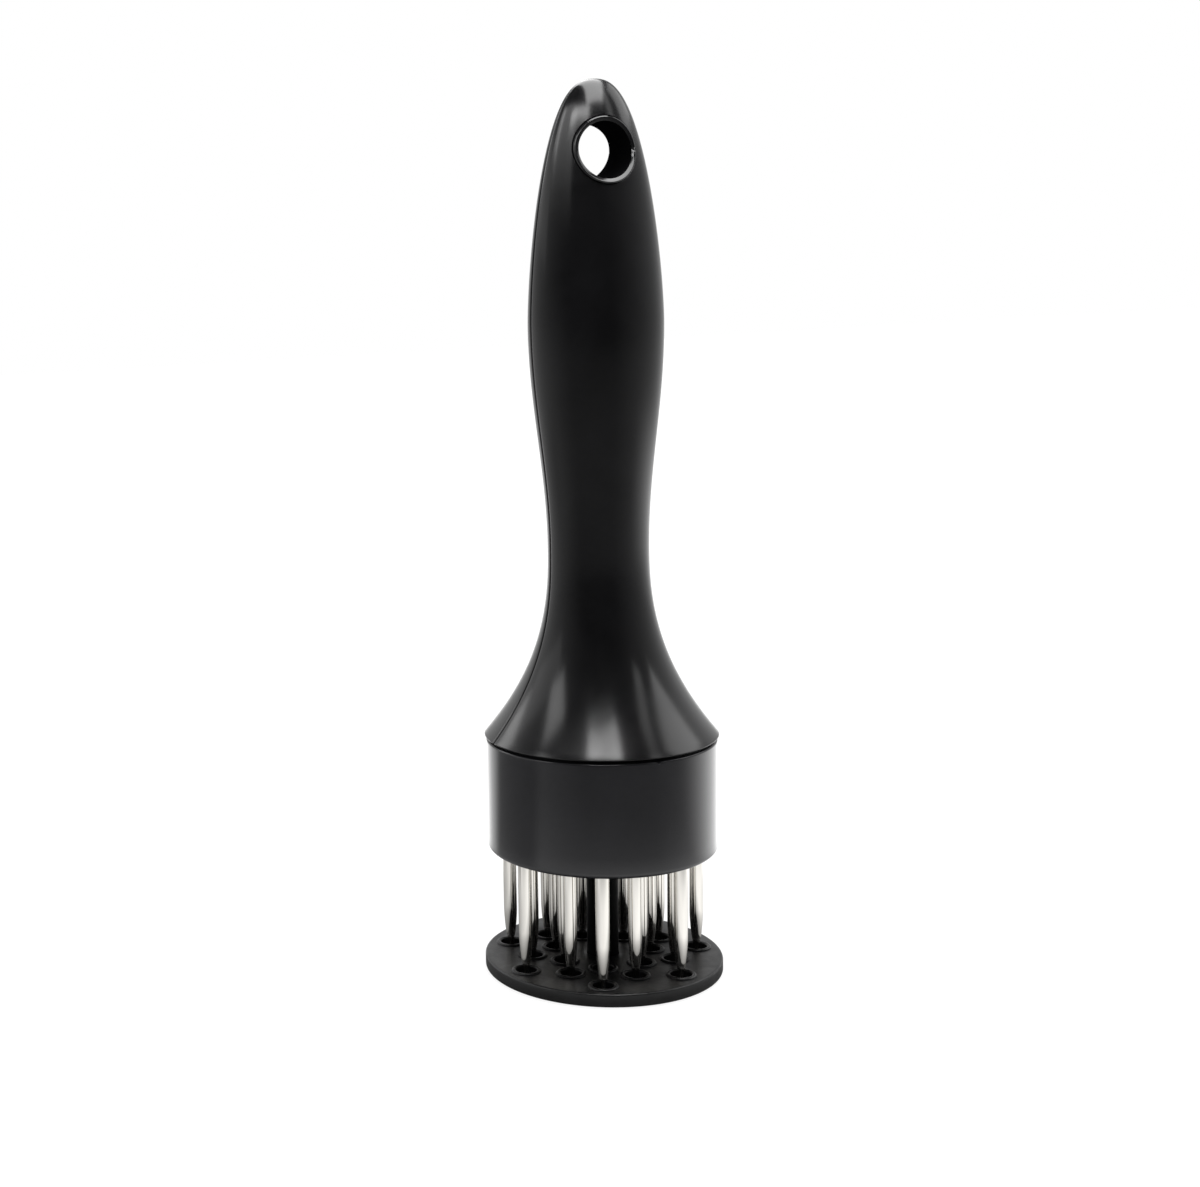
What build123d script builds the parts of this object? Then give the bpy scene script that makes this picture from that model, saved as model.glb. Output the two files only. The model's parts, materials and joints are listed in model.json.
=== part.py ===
from build123d import *
import os
from math import cos, hypot, pi, radians, sin, sqrt

# Spring-loaded needle meat tenderizer.
# Millimetres, +Z up along the tool axis, origin at the middle of the guard plate's underside.
# The front of the handle faces -Y, and the hanging hole runs along Y.

# Overall sizes
overall_length = 195.0
needle_gap = 25.0            # guard plate top to collar underside, at rest
seam_gap = 0.8               # shadow groove between collar and handle

# Guard plate
plate_overhang = 0.8         # beyond the handle's lip
plate_thickness = 3.0
plate_edge_round = 0.5
needle_hole_clearance = 0.8  # radial, needle in the guard plate
rim_width = 1.0
rim_height = 0.4

# Needles
needles_per_ring = 7
ring_spacing = 5.3           # from each ring of needles to the next
needle_diameter = 3.0
needle_taper = 11.5
needle_tip_radius = 0.12
needle_tip_sink = 2.4        # tip below the top face of the guard plate, at rest
needle_head_step = 0.2       # radial, head beyond the shank
needle_head_height = 1.2
needle_clearance = 0.04      # radial, needle in collar floor
needle_edge_gap = 0.2        # outer needle heads to the collar wall

# Collar
collar_inset = 0.3           # radial, inside the handle's lip
collar_height = 25.2
collar_wall = 2.0
collar_floor = 6.0
collar_lower_round = 1.2
collar_upper_round = 0.4
guide_wall = 1.0             # tube that guides the post
guide_height = 10.0          # above the collar floor

# Backing plate over the needle heads
backing_thickness = 2.0
backing_clearance = 0.2      # radial, to the collar wall and to the guide tube

# Plunger
post_diameter = 7.0
post_clearance = 0.1         # radial, post in its guide
post_socket_depth = 0.8      # post sunk into the guard plate
post_socket_clearance = 0.05
flange_margin = 0.3          # radial, flange beyond the spring
flange_thickness = 2.0
spring_spigot_height = 3.0
press_clearance = 0.1        # plate rims to collar underside, at full press

# Return spring
spring_wire = 0.9
spring_side_gap = 0.8        # spring to the inside of the neck
spring_length = 48.0         # between its seats, at rest
spring_active_turns = 13
spring_end_gap = 0.5         # between the wires of an end turn
spring_end_sink = 0.2        # flat ground on each end
spring_bore_clearance = 0.4  # radial, spring on its spigots

# Screws
screw_diameter = 3.0
screw_clearance = 0.03       # radial, shank in its own pilot hole
screw_pass_clearance = 0.2   # radial, shank through a plain hole
screw_head_step = 1.2        # radial, head beyond the shank
screw_head_height = 2.0
handle_screw_length = 16.0
handle_screw_sink = 1.0      # head below the collar underside
backing_screw_grip = 3.8     # length held in the collar floor
plate_screw_length = 12.0
plate_screw_head_height = 1.4
screw_spare = 0.8            # pilot hole beyond the screw tip

# Handle
flare_radius = 25.5
flare_lip_height = 0.8
flare_lip_round = 0.35
flare_power = 2.6
neck_height = 41.9           # neck above the handle's lower edge
neck_half_width = 11.35
neck_depth_share = 0.76      # half depth over half width, at the neck
crown_depth_share = 0.51     # half depth over half width, at the top
grip_height = 90.4           # widest grip above the handle's lower edge
grip_half_width = 15.1
crown_fullness = 1.55
crown_roundness = 2.54
crown_end = 0.9975           # share of the crown curve used, which leaves a tiny flat top
crown_thickness = 7.0
handle_wall = 2.4
flare_sections = 8
grip_sections = 4
crown_sections = 8

# Handle spigot that drops into the collar
spigot_depth = 6.0
spigot_wall = 1.8
spigot_clearance = 0.1
spigot_root = 2.0
step_inset = 0.9             # shoulder in the seam groove, inside the flare

# Handle inner features
boss_wall = 1.6              # round each screw
boss_reach = 16.0            # boss top above the handle's lower edge
web_thickness = 3.0
peg_levels = (24.0, 66.0)    # above the neck
peg_diameter = 2.4
peg_length = 4.0
peg_clearance = 0.1
peg_boss_diameter = 4.8

# Hanging hole
hole_drop = 15.0             # hole centre below the top
hole_diameter = 12.0
sleeve_wall = 1.05
sleeve_proud = 0.35
sleeve_clearance = 0.1       # radial, sleeve in the handle shells

# Levels worked out from the sizes
plate_top = plate_thickness
collar_bottom = plate_top + needle_gap
floor_top = collar_bottom + collar_floor
collar_top = collar_bottom + collar_height
handle_base = collar_top + seam_gap
flare_level = handle_base + flare_lip_height
neck_level = handle_base + neck_height
grip_level = handle_base + grip_height
hole_level = overall_length - hole_drop
cavity_top = overall_length - crown_thickness
head_top = floor_top + needle_head_height
backing_top = head_top + backing_thickness
guide_top = floor_top + guide_height
spring_bottom = guide_top + flange_thickness
spring_top = spring_bottom + spring_length
post_bottom = plate_top - post_socket_depth
stroke = needle_gap - rim_height - press_clearance

# Radii worked out from the sizes
plate_radius = flare_radius + plate_overhang
collar_radius = flare_radius - collar_inset
collar_bore = collar_radius - collar_wall
post_radius = post_diameter / 2
guide_bore = post_radius + post_clearance
guide_radius = guide_bore + guide_wall
screw_radius = screw_diameter / 2
pilot_radius = screw_radius + screw_clearance
pass_radius = screw_radius + screw_pass_clearance
screw_head_radius = screw_radius + screw_head_step
head_sink_radius = screw_head_radius + screw_pass_clearance
boss_radius = screw_radius + boss_wall
needle_radius = needle_diameter / 2
needle_head_radius = needle_radius + needle_head_step
needle_hole_radius = needle_radius + needle_hole_clearance
rim_radius = needle_hole_radius + rim_width
outer_ring_radius = collar_bore - needle_edge_gap - needle_head_radius
middle_ring_radius = outer_ring_radius - ring_spacing
inner_ring_radius = middle_ring_radius - ring_spacing
sleeve_radius = hole_diameter / 2 + sleeve_wall

# Spring sizes worked out from the room inside the neck
spring_outer_radius = neck_half_width * neck_depth_share - handle_wall - spring_side_gap
spring_mean_radius = spring_outer_radius - spring_wire / 2
spring_spigot_radius = spring_outer_radius - spring_wire - spring_bore_clearance
spring_end_pitch = spring_wire + spring_end_gap
flange_radius = spring_outer_radius + flange_margin

# Angles are measured from the front (-Y) towards +X
needle_step = 360 / needles_per_ring
staggered = (needle_step / 2, 0)
needle_rings = {
    "outer": (outer_ring_radius, staggered[0]),
    "middle": (middle_ring_radius, staggered[1]),
    "inner": (inner_ring_radius, staggered[0]),
}


def polar_point(radius, angle):
    """Point at a radius and an angle from the front."""
    return (radius * sin(radians(angle)), -radius * cos(radians(angle)))


def ring_points(radius, start):
    """One point for each needle of a ring."""
    return [polar_point(radius, start + needle_step * i) for i in range(needles_per_ring)]


needle_points = [p for radius, start in needle_rings.values() for p in ring_points(radius, start)]

# Screws stand between the rings, in line with the outer needles
screw_points = ring_points(middle_ring_radius, staggered[0])
front_screw_points = [screw_points[0], screw_points[-1]]
rear_screw_points = [screw_points[2], screw_points[4]]
handle_screw_points = front_screw_points + rear_screw_points
backing_screw_points = [p for p in screw_points if p not in handle_screw_points]


def half_width(level):
    """Half width of the handle: a flare, a waist that swells to the grip, and a rounded crown."""
    if level < neck_level:
        rise = (level - flare_level) / (neck_level - flare_level)
        return neck_half_width + (flare_radius - neck_half_width) * (1 - rise) ** flare_power
    if level < grip_level:
        rise = (level - neck_level) / (grip_level - neck_level)
        return neck_half_width + (grip_half_width - neck_half_width) * (1 - cos(pi * rise)) / 2
    rise = crown_end * (level - grip_level) / (overall_length - grip_level)
    return grip_half_width * (1 - rise**crown_fullness) ** (1 / crown_roundness)


def half_depth(level):
    """Half depth of the handle: round at the flare, oval at the neck and flatter towards the top."""
    rise = min((level - flare_level) / (neck_level - flare_level), 1)
    blend = rise * rise * (3 - 2 * rise)
    above = max((level - neck_level) / (overall_length - neck_level), 0)
    share = neck_depth_share + (crown_depth_share - neck_depth_share) * above**2
    return half_width(level) * (1 - (1 - share) * blend)


def handle_levels(top):
    """Levels of the handle's cross sections, closer together towards the crown."""
    flare = [flare_level + (neck_level - flare_level) * i / flare_sections for i in range(flare_sections)]
    grip = [neck_level + (grip_level - neck_level) * i / grip_sections for i in range(grip_sections)]
    shares = [1 - (1 - i / crown_sections) ** 2 for i in range(crown_sections + 1)]
    return flare + grip + [grip_level + (top - grip_level) * share for share in shares]


# Handle outside
with BuildPart() as handle_outside:
    for level in handle_levels(overall_length):
        with BuildSketch(Plane.XY.offset(level)):
            Ellipse(half_width(level), half_depth(level))
    loft()

# Handle hollow
with BuildPart() as handle_cavity:
    for level in handle_levels(cavity_top):
        with BuildSketch(Plane.XY.offset(level)):
            Ellipse(half_width(level) - handle_wall, half_depth(level) - handle_wall)
    loft()

# Handle outside with the sleeve's stand-out
with BuildPart() as sleeve_limit:
    for level in handle_levels(overall_length):
        with BuildSketch(Plane.XY.offset(level)):
            Ellipse(half_width(level) + sleeve_proud, half_depth(level) + sleeve_proud)
    loft()

# Lip, seam shoulder and spigot at the foot of the handle
spigot_radius = collar_bore - spigot_clearance
spigot_bottom = collar_top - spigot_depth
spigot_height = flare_level + spigot_root - spigot_bottom
with BuildPart() as handle_foot:
    with BuildSketch(Plane.XY.offset(handle_base)):
        Circle(flare_radius)
    extrude(amount=flare_lip_height)
    fillet(handle_foot.edges().group_by(Axis.Z)[0], flare_lip_round)
    with BuildSketch(Plane.XY.offset(collar_top)):
        Circle(flare_radius - step_inset)
    extrude(amount=seam_gap)
    with BuildSketch(Plane.XY.offset(spigot_bottom)):
        Circle(spigot_radius)
    extrude(amount=spigot_height)
    with BuildSketch(Plane.XY.offset(spigot_bottom)):
        Circle(spigot_radius - spigot_wall)
    extrude(amount=spigot_height, mode=Mode.SUBTRACT)

# Web and spigot that hold the top of the spring
with BuildPart() as spring_web:
    with BuildSketch(Plane.XY.offset(spring_top)):
        Circle(grip_half_width)
    extrude(amount=web_thickness)
    with BuildSketch(Plane.XY.offset(spring_top - spring_spigot_height)):
        Circle(spring_spigot_radius)
    extrude(amount=spring_spigot_height)
    add(handle_outside.part, mode=Mode.INTERSECT)

# Bosses for the pegs that line up the two shells
peg_points = []
for peg_level in peg_levels:
    level = neck_level + peg_level
    reach = half_width(level) - handle_wall - peg_boss_diameter / 4
    peg_points += [(reach, level), (-reach, level)]
with BuildPart() as peg_bosses:
    with BuildSketch(Plane.XZ):
        with Locations(*peg_points):
            Circle(peg_boss_diameter / 2)
    extrude(amount=grip_half_width, both=True)
    add(handle_outside.part, mode=Mode.INTERSECT)

# Handle before it is parted into two shells
with BuildPart() as handle_hollow:
    add(handle_outside.part)
    add(handle_cavity.part, mode=Mode.SUBTRACT)
    add(handle_foot.part)
    add(spring_web.part)
    add(peg_bosses.part)
    with BuildSketch(Plane.XZ):
        with Locations((0, hole_level)):
            Circle(sleeve_radius + sleeve_clearance)
    extrude(amount=grip_half_width, both=True, mode=Mode.SUBTRACT)

# Room that a screw boss may fill
with BuildPart() as boss_limit:
    add(handle_outside.part)
    with BuildSketch(Plane.XY.offset(backing_top)):
        Circle(spigot_radius)
    extrude(amount=flare_level - backing_top)


def screw_bosses(points):
    """Bosses that stand on the backing plate and run up into the flare."""
    with BuildPart() as bosses:
        with BuildSketch(Plane.XY.offset(backing_top)):
            with Locations(*points):
                Circle(boss_radius)
        extrude(amount=handle_base + boss_reach - backing_top)
        add(boss_limit.part, mode=Mode.INTERSECT)
    return bosses.part


handle_screw_seat = collar_bottom + handle_screw_sink + screw_head_height
handle_screw_tip = handle_screw_seat + handle_screw_length


def screw_pilots(points):
    """Pilot holes for the handle screws."""
    with BuildPart() as pilots:
        with BuildSketch(Plane.XY.offset(backing_top)):
            with Locations(*points):
                Circle(pilot_radius)
        extrude(amount=handle_screw_tip + screw_spare - backing_top)
    return pilots.part


# Front shell, with the peg sockets
with BuildPart() as handle_front_shell:
    add(handle_hollow.part)
    split(bisect_by=Plane.XZ, keep=Keep.TOP)
    add(screw_bosses(front_screw_points))
    add(screw_pilots(front_screw_points), mode=Mode.SUBTRACT)
    with BuildSketch(Plane.XZ):
        with Locations(*peg_points):
            Circle(peg_diameter / 2 + peg_clearance)
    extrude(amount=peg_length + peg_clearance, mode=Mode.SUBTRACT)

# Rear shell, with the pegs
with BuildPart() as handle_rear_shell:
    add(handle_hollow.part)
    split(bisect_by=Plane.XZ, keep=Keep.BOTTOM)
    add(screw_bosses(rear_screw_points))
    add(screw_pilots(rear_screw_points), mode=Mode.SUBTRACT)
    with BuildSketch(Plane.XZ):
        with Locations(*peg_points):
            Circle(peg_diameter / 2)
    extrude(amount=peg_length)

# Sleeve that lines the hanging hole
with BuildPart() as hang_hole_sleeve:
    with BuildSketch(Plane.XZ):
        with Locations((0, hole_level)):
            Circle(sleeve_radius)
            Circle(hole_diameter / 2, mode=Mode.SUBTRACT)
    extrude(amount=grip_half_width, both=True)
    add(sleeve_limit.part, mode=Mode.INTERSECT)

# Collar: a cup whose thick floor carries the needles and the guide tube
backing_pilot_bottom = floor_top - backing_screw_grip - screw_spare
with BuildPart() as needle_collar:
    with BuildSketch(Plane.XY.offset(collar_bottom)):
        Circle(collar_radius)
    extrude(amount=collar_height)
    fillet(needle_collar.edges().group_by(Axis.Z)[0], collar_lower_round)
    fillet(needle_collar.edges().group_by(Axis.Z)[-1], collar_upper_round)
    with BuildSketch(Plane.XY.offset(floor_top)):
        Circle(collar_bore)
    extrude(amount=collar_height - collar_floor, mode=Mode.SUBTRACT)
    with BuildSketch(Plane.XY.offset(floor_top)):
        Circle(guide_radius)
    extrude(amount=guide_height)
    with BuildSketch(Plane.XY.offset(collar_bottom)):
        Circle(guide_bore)
    extrude(amount=guide_top - collar_bottom, mode=Mode.SUBTRACT)
    with BuildSketch(Plane.XY.offset(collar_bottom)):
        with Locations(*needle_points):
            Circle(needle_radius + needle_clearance)
        with Locations(*handle_screw_points):
            Circle(pass_radius)
    extrude(amount=collar_floor, mode=Mode.SUBTRACT)
    with BuildSketch(Plane.XY.offset(collar_bottom)):
        with Locations(*handle_screw_points):
            Circle(head_sink_radius)
    extrude(amount=handle_screw_seat - collar_bottom, mode=Mode.SUBTRACT)
    with BuildSketch(Plane.XY.offset(backing_pilot_bottom)):
        with Locations(*backing_screw_points):
            Circle(pilot_radius)
    extrude(amount=floor_top - backing_pilot_bottom, mode=Mode.SUBTRACT)

# Backing plate that holds the needle heads down
with BuildPart() as needle_backing_plate:
    with BuildSketch(Plane.XY.offset(head_top)):
        Circle(collar_bore - backing_clearance)
        Circle(guide_radius + backing_clearance, mode=Mode.SUBTRACT)
        with Locations(*screw_points):
            Circle(pass_radius, mode=Mode.SUBTRACT)
    extrude(amount=backing_thickness)


def pan_screws(points, seat, direction, length):
    """Pan head screws: a head on the seat, and a shank that runs the given way from it."""
    with BuildPart() as screws:
        with BuildSketch(Plane.XY.offset(seat)):
            with Locations(*points):
                Circle(screw_head_radius)
        extrude(amount=-direction * screw_head_height)
        with BuildSketch(Plane.XY.offset(seat)):
            with Locations(*points):
                Circle(screw_radius)
        extrude(amount=direction * length)
    return screws.part


# Screws that pull the collar onto the handle
with BuildPart() as handle_screws:
    add(pan_screws(handle_screw_points, handle_screw_seat, 1, handle_screw_length))

# Screws that hold the backing plate on the collar floor
backing_screw_length = backing_top - floor_top + backing_screw_grip
with BuildPart() as backing_plate_screws:
    add(pan_screws(backing_screw_points, backing_top, -1, backing_screw_length))

# Guard plate with a rimmed hole for each needle
with BuildPart() as guard_plate:
    with BuildSketch():
        Circle(plate_radius)
    extrude(amount=plate_thickness)
    fillet(guard_plate.edges(), plate_edge_round)
    with BuildSketch(Plane.XY.offset(plate_top)):
        with Locations(*needle_points):
            Circle(rim_radius)
    extrude(amount=rim_height)
    with BuildSketch():
        with Locations(*needle_points):
            Circle(needle_hole_radius)
    extrude(amount=plate_top + rim_height, mode=Mode.SUBTRACT)
    with BuildSketch(Plane.XY.offset(post_bottom)):
        Circle(post_radius + post_socket_clearance)
    extrude(amount=post_socket_depth + rim_height, mode=Mode.SUBTRACT)
    with BuildSketch():
        Circle(pass_radius)
    extrude(amount=post_bottom, mode=Mode.SUBTRACT)
    with BuildSketch(Plane.XZ):
        with BuildLine():
            Polyline(
                (0, 0),
                (head_sink_radius, 0),
                (pass_radius, plate_screw_head_height),
                (0, plate_screw_head_height),
                close=True,
            )
        make_face()
    revolve(axis=Axis.Z, mode=Mode.SUBTRACT)

# Post with the flange that stops it on the guide tube
with BuildPart() as plunger_post:
    with BuildSketch(Plane.XY.offset(post_bottom)):
        Circle(post_radius)
    extrude(amount=guide_top - post_bottom)
    with BuildSketch(Plane.XY.offset(guide_top)):
        Circle(flange_radius)
    extrude(amount=flange_thickness)
    with BuildSketch(Plane.XY.offset(spring_bottom)):
        Circle(spring_spigot_radius)
    extrude(amount=spring_spigot_height)
    with BuildSketch(Plane.XY.offset(post_bottom)):
        Circle(pilot_radius)
    extrude(amount=plate_screw_length + screw_spare - post_bottom, mode=Mode.SUBTRACT)

# Countersunk screw, its head flush in the guard plate
with BuildPart() as plate_screw:
    with BuildSketch(Plane.XZ):
        with BuildLine():
            Polyline(
                (0, 0),
                (screw_head_radius, 0),
                (screw_radius, plate_screw_head_height),
                (screw_radius, plate_screw_length),
                (0, plate_screw_length),
                close=True,
            )
        make_face()
    revolve(axis=Axis.Z)


def spring_nodes():
    """Point and tangent at each half turn of the spring's centre line."""
    radius = spring_mean_radius
    low = spring_bottom + spring_wire / 2 - spring_end_sink
    height = spring_length - spring_wire + 2 * spring_end_sink
    pitch = (height - 2 * spring_end_pitch) / spring_active_turns
    steps = [spring_end_pitch / 2] * 2 + [pitch / 2] * (2 * spring_active_turns) + [spring_end_pitch / 2] * 2
    levels = [low + sum(steps[:i]) for i in range(len(steps) + 1)]
    slopes = [steps[0]] + [(a + b) / 2 for a, b in zip(steps, steps[1:])] + [steps[-1]]
    points = []
    tangents = []
    for i, (level, slope) in enumerate(zip(levels, slopes)):
        side = (-1) ** i
        points.append(Vector(radius * side, 0, level))
        tangents.append(Vector(0, side * pi * radius, slope).normalized())
    return points, tangents


def biarc_joint(start, end, start_tangent, end_tangent):
    """Point and tangent where the two arcs of a biarc with equal reaches meet."""
    span = end - start
    sum_tangent = start_tangent + end_tangent
    a = 2 * (1 - start_tangent.dot(end_tangent))
    b = 2 * span.dot(sum_tangent)
    c = -span.dot(span)
    reach = (-b + sqrt(b * b - 4 * a * c)) / (2 * a)
    first = start + start_tangent * reach
    second = end - end_tangent * reach
    return (first + second) * 0.5, (second - first).normalized()


def least_self_gap(path, turns):
    """Least gap between the wire and itself, from points along the centre line."""
    per_turn = 48
    count = int(turns * per_turn)
    points = [path.position_at(i / count) for i in range(count + 1)]
    near = [
        hypot(p.X - q.X, p.Y - q.Y, p.Z - q.Z)
        for i, p in enumerate(points)
        for q in points[i + per_turn // 2 : i + 2 * per_turn]
    ]
    return min(near) - spring_wire


# Return spring: one unbroken wire with closer end turns and flat ends
nodes, node_tangents = spring_nodes()
with BuildPart() as return_spring:
    with BuildLine() as spring_path:
        for start, end, start_tangent, end_tangent in zip(nodes, nodes[1:], node_tangents, node_tangents[1:]):
            joint, joint_tangent = biarc_joint(start, end, start_tangent, end_tangent)
            TangentArc(start, joint, tangent=start_tangent)
            TangentArc(joint, end, tangent=joint_tangent)
    with BuildSketch(Plane(origin=nodes[0], z_dir=node_tangents[0])):
        Circle(spring_wire / 2)
    sweep(path=spring_path.wires()[0])
    split(bisect_by=Plane.XY.offset(spring_bottom), keep=Keep.TOP)
    split(bisect_by=Plane.XY.offset(spring_top), keep=Keep.BOTTOM)
spring_gap = least_self_gap(spring_path.wires()[0], spring_active_turns + 2)
print(f"spring: least gap between turns {spring_gap:.2f} mm")
print(f"plunger: stroke {stroke:.1f} mm, spring {spring_length:.1f} mm to {spring_length - stroke:.1f} mm")

# Written pieces, one file each
pieces = {
    "handle_front_shell": handle_front_shell.part,
    "handle_rear_shell": handle_rear_shell.part,
    "hang_hole_sleeve": hang_hole_sleeve.part,
    "needle_collar": needle_collar.part,
    "needle_backing_plate": needle_backing_plate.part,
    "handle_screws": handle_screws.part,
    "backing_plate_screws": backing_plate_screws.part,
    "guard_plate": guard_plate.part,
    "plunger_post": plunger_post.part,
    "plate_screw": plate_screw.part,
    "return_spring": return_spring.part,
}

# Needles: a headed pin with a long rounded point, one for each place in each ring
tip_level = plate_top - needle_tip_sink
shank_level = tip_level + needle_taper
for ring_name, (ring_radius, ring_start) in needle_rings.items():
    for number, (x, y) in enumerate(ring_points(ring_radius, ring_start), start=1):
        with BuildPart() as needle:
            with BuildSketch(Plane(origin=(x, y, 0), x_dir=(1, 0, 0), z_dir=(0, -1, 0))):
                with BuildLine():
                    Polyline(
                        (needle_radius, shank_level),
                        (needle_radius, floor_top),
                        (needle_head_radius, floor_top),
                        (needle_head_radius, head_top),
                        (0, head_top),
                        (0, tip_level),
                        (needle_tip_radius, tip_level),
                    )
                    TangentArc((needle_radius, shank_level), (needle_tip_radius, tip_level), tangent=(0, -1))
                make_face()
            revolve(axis=Axis((x, y, 0), (0, 0, 1)))
        pieces[f"needle_{ring_name}_{number}"] = needle.part

os.makedirs("parts", exist_ok=True)
for name, piece in pieces.items():
    piece.label = name
    export_step(piece, f"parts/{name}.step")
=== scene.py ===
"""Looks of a spring-loaded needle meat tenderizer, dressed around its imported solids.

Shapes are worked out in millimetres, as arrays of points, and go into the meshes in metres. +Z runs up the
tool axis, the origin is the middle of the guard plate's underside, and the front of the handle faces -Y.
"""

import json
import logging
import math
from dataclasses import dataclass, field
from enum import Enum

import bmesh
import bpy
import numpy as np
from mathutils import Matrix, Vector
from mathutils.geometry import delaunay_2d_cdt


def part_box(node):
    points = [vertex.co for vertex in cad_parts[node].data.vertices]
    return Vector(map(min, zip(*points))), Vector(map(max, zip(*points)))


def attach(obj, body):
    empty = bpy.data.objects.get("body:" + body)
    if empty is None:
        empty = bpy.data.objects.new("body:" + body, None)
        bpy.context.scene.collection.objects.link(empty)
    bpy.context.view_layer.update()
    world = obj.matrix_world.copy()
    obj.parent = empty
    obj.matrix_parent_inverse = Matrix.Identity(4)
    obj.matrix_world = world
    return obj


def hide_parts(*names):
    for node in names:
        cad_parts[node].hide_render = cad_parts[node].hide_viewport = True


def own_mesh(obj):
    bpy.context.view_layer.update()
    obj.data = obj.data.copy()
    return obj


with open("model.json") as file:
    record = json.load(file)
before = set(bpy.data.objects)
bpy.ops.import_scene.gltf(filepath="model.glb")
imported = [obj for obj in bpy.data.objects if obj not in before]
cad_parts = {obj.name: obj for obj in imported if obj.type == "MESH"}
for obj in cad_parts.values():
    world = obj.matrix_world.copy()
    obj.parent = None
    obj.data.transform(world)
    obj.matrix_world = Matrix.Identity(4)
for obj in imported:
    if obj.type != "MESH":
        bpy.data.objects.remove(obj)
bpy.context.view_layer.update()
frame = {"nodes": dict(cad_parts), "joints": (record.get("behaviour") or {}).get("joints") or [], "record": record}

Array = np.ndarray
Material = bpy.types.Material
MeshObject = bpy.types.Object
Node = bpy.types.Node
NodeTree = bpy.types.NodeTree
Socket = bpy.types.NodeSocket
Point = tuple[float, float]
Triple = tuple[float, float, float]

MM = 0.001
AXIS: Point = (0.0, 0.0)
UP = Vector((0, 0, 1))
WHITE = (1.0, 1.0, 1.0, 1.0)
TINY = 1e-9
WELD_DISTANCE = 2e-7
FLAT_TOLERANCE = 1e-7
INSIDE_ONLY = 1
SHARP_DEGREES = 32.0
RING_NAMES = ("outer", "middle", "inner")
NEEDLES_PER_RING = 7
HANDLE_SCREW_PLACES = (0, 2, 4, 6)
LIP_HEIGHT = 0.15
NECK_HEIGHT = 41.9
GRIP_HEIGHT = 90.4
LOG = logging.getLogger("tenderizer")


class Body(Enum):
    """Rigid bodies that the pieces ride on."""

    HANDLE = "handle"
    PLUNGER = "plunger"


class Slot(Enum):
    """Material slots of the record."""

    GLOSS_BLACK = "gloss_black"
    SATIN_BLACK = "satin_black"
    POLISHED_STEEL = "polished_steel"
    PLAIN_STEEL = "plain_steel"
    SPRING_STEEL = "spring_steel"


def node_box(node: str) -> tuple[Array, Array]:
    """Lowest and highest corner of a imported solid, in millimetres."""
    low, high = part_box(node)
    return np.array(low) / MM, np.array(high) / MM


def share(value: Array, start: float, end: float) -> Array:
    """How far each value lies on the way from start to end, kept between 0 and 1."""
    return np.clip((value - start) / (end - start), 0, 1)


def eased(way: Array) -> Array:
    """Smooth step: three times the square of the way less twice its cube."""
    return way * way * (3 - 2 * way)


def turn_angles(segments: int, start: float = 0.0) -> Array:
    """Angles in radians, spread over one turn from start in degrees, without repeating the first."""
    return np.radians(np.linspace(start, start + 360, segments + 1))[:-1]


def arc(centre: Point, radius: float, start: float, end: float, steps: int) -> Array:
    """Points on a circular arc, evenly spaced in angle.

    Args:
        centre: Middle of the circle.
        radius: Radius of the circle.
        start: First angle in degrees, from the first axis towards the second.
        end: Last angle in degrees.
        steps: Number of chords.

    Returns:
        Array of steps + 1 points in two dimensions.
    """
    angle = np.radians(np.linspace(start, end, steps + 1))
    return np.stack([centre[0] + radius * np.cos(angle), centre[1] + radius * np.sin(angle)], axis=-1)


class Corner(Enum):
    """Rounded corners of an outline: where the arc's centre lies, and its first and last angle."""

    LOWER_EDGE = (-1, 1, -90, 0)
    UPPER_EDGE = (-1, -1, 0, 90)
    LOWER_HOLE = (1, 1, -90, -180)
    UPPER_HOLE = (1, -1, 180, 90)

    def rounded(self, radius: float, level: float, soft: float, steps: int = 3) -> Array:
        """Quarter circle that rounds the corner.

        Args:
            radius: Distance of the sharp corner from the axis.
            level: Height of the sharp corner.
            soft: Radius of the rounding.
            steps: Number of chords.

        Returns:
            Radius and level of each point.
        """
        outward, upward, start, end = self.value
        return arc((radius + outward * soft, level + upward * soft), soft, start, end, steps)


def upright(radius: float, start: float, end: float, points: int) -> Array:
    """Evenly spaced points of a straight wall, from the start level to the end level."""
    return np.stack([np.full(points, radius), np.linspace(start, end, points)], axis=-1)


def joined(*runs: Array | list) -> Array:
    """One outline from runs of points that follow each other."""
    return np.concatenate([np.asarray(run, float).reshape(-1, 2) for run in runs])


def circle(radius: float, segments: int, centre: Point = AXIS) -> Array:
    """Points evenly spaced round a circle, without repeating the first."""
    return arc(centre, radius, 0, 360, segments)[:-1]


def lathe(profile: Array, segments: int, centre: Point = AXIS) -> Array:
    """Surface of revolution: each profile point (radius, level) is carried round an upright axis.

    Args:
        profile: Radius and level of each point, from one end of the outline to the other.
        segments: Number of steps round the axis.
        centre: Place of the axis.

    Returns:
        Grid of points, one row for each profile point and one column for each step.
    """
    turn = circle(1.0, segments)
    radius = profile[:, :1]
    level = np.broadcast_to(profile[:, 1:], (len(profile), segments))
    return np.stack([centre[0] + radius * turn[:, 0], centre[1] + radius * turn[:, 1], level], axis=-1)


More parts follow.
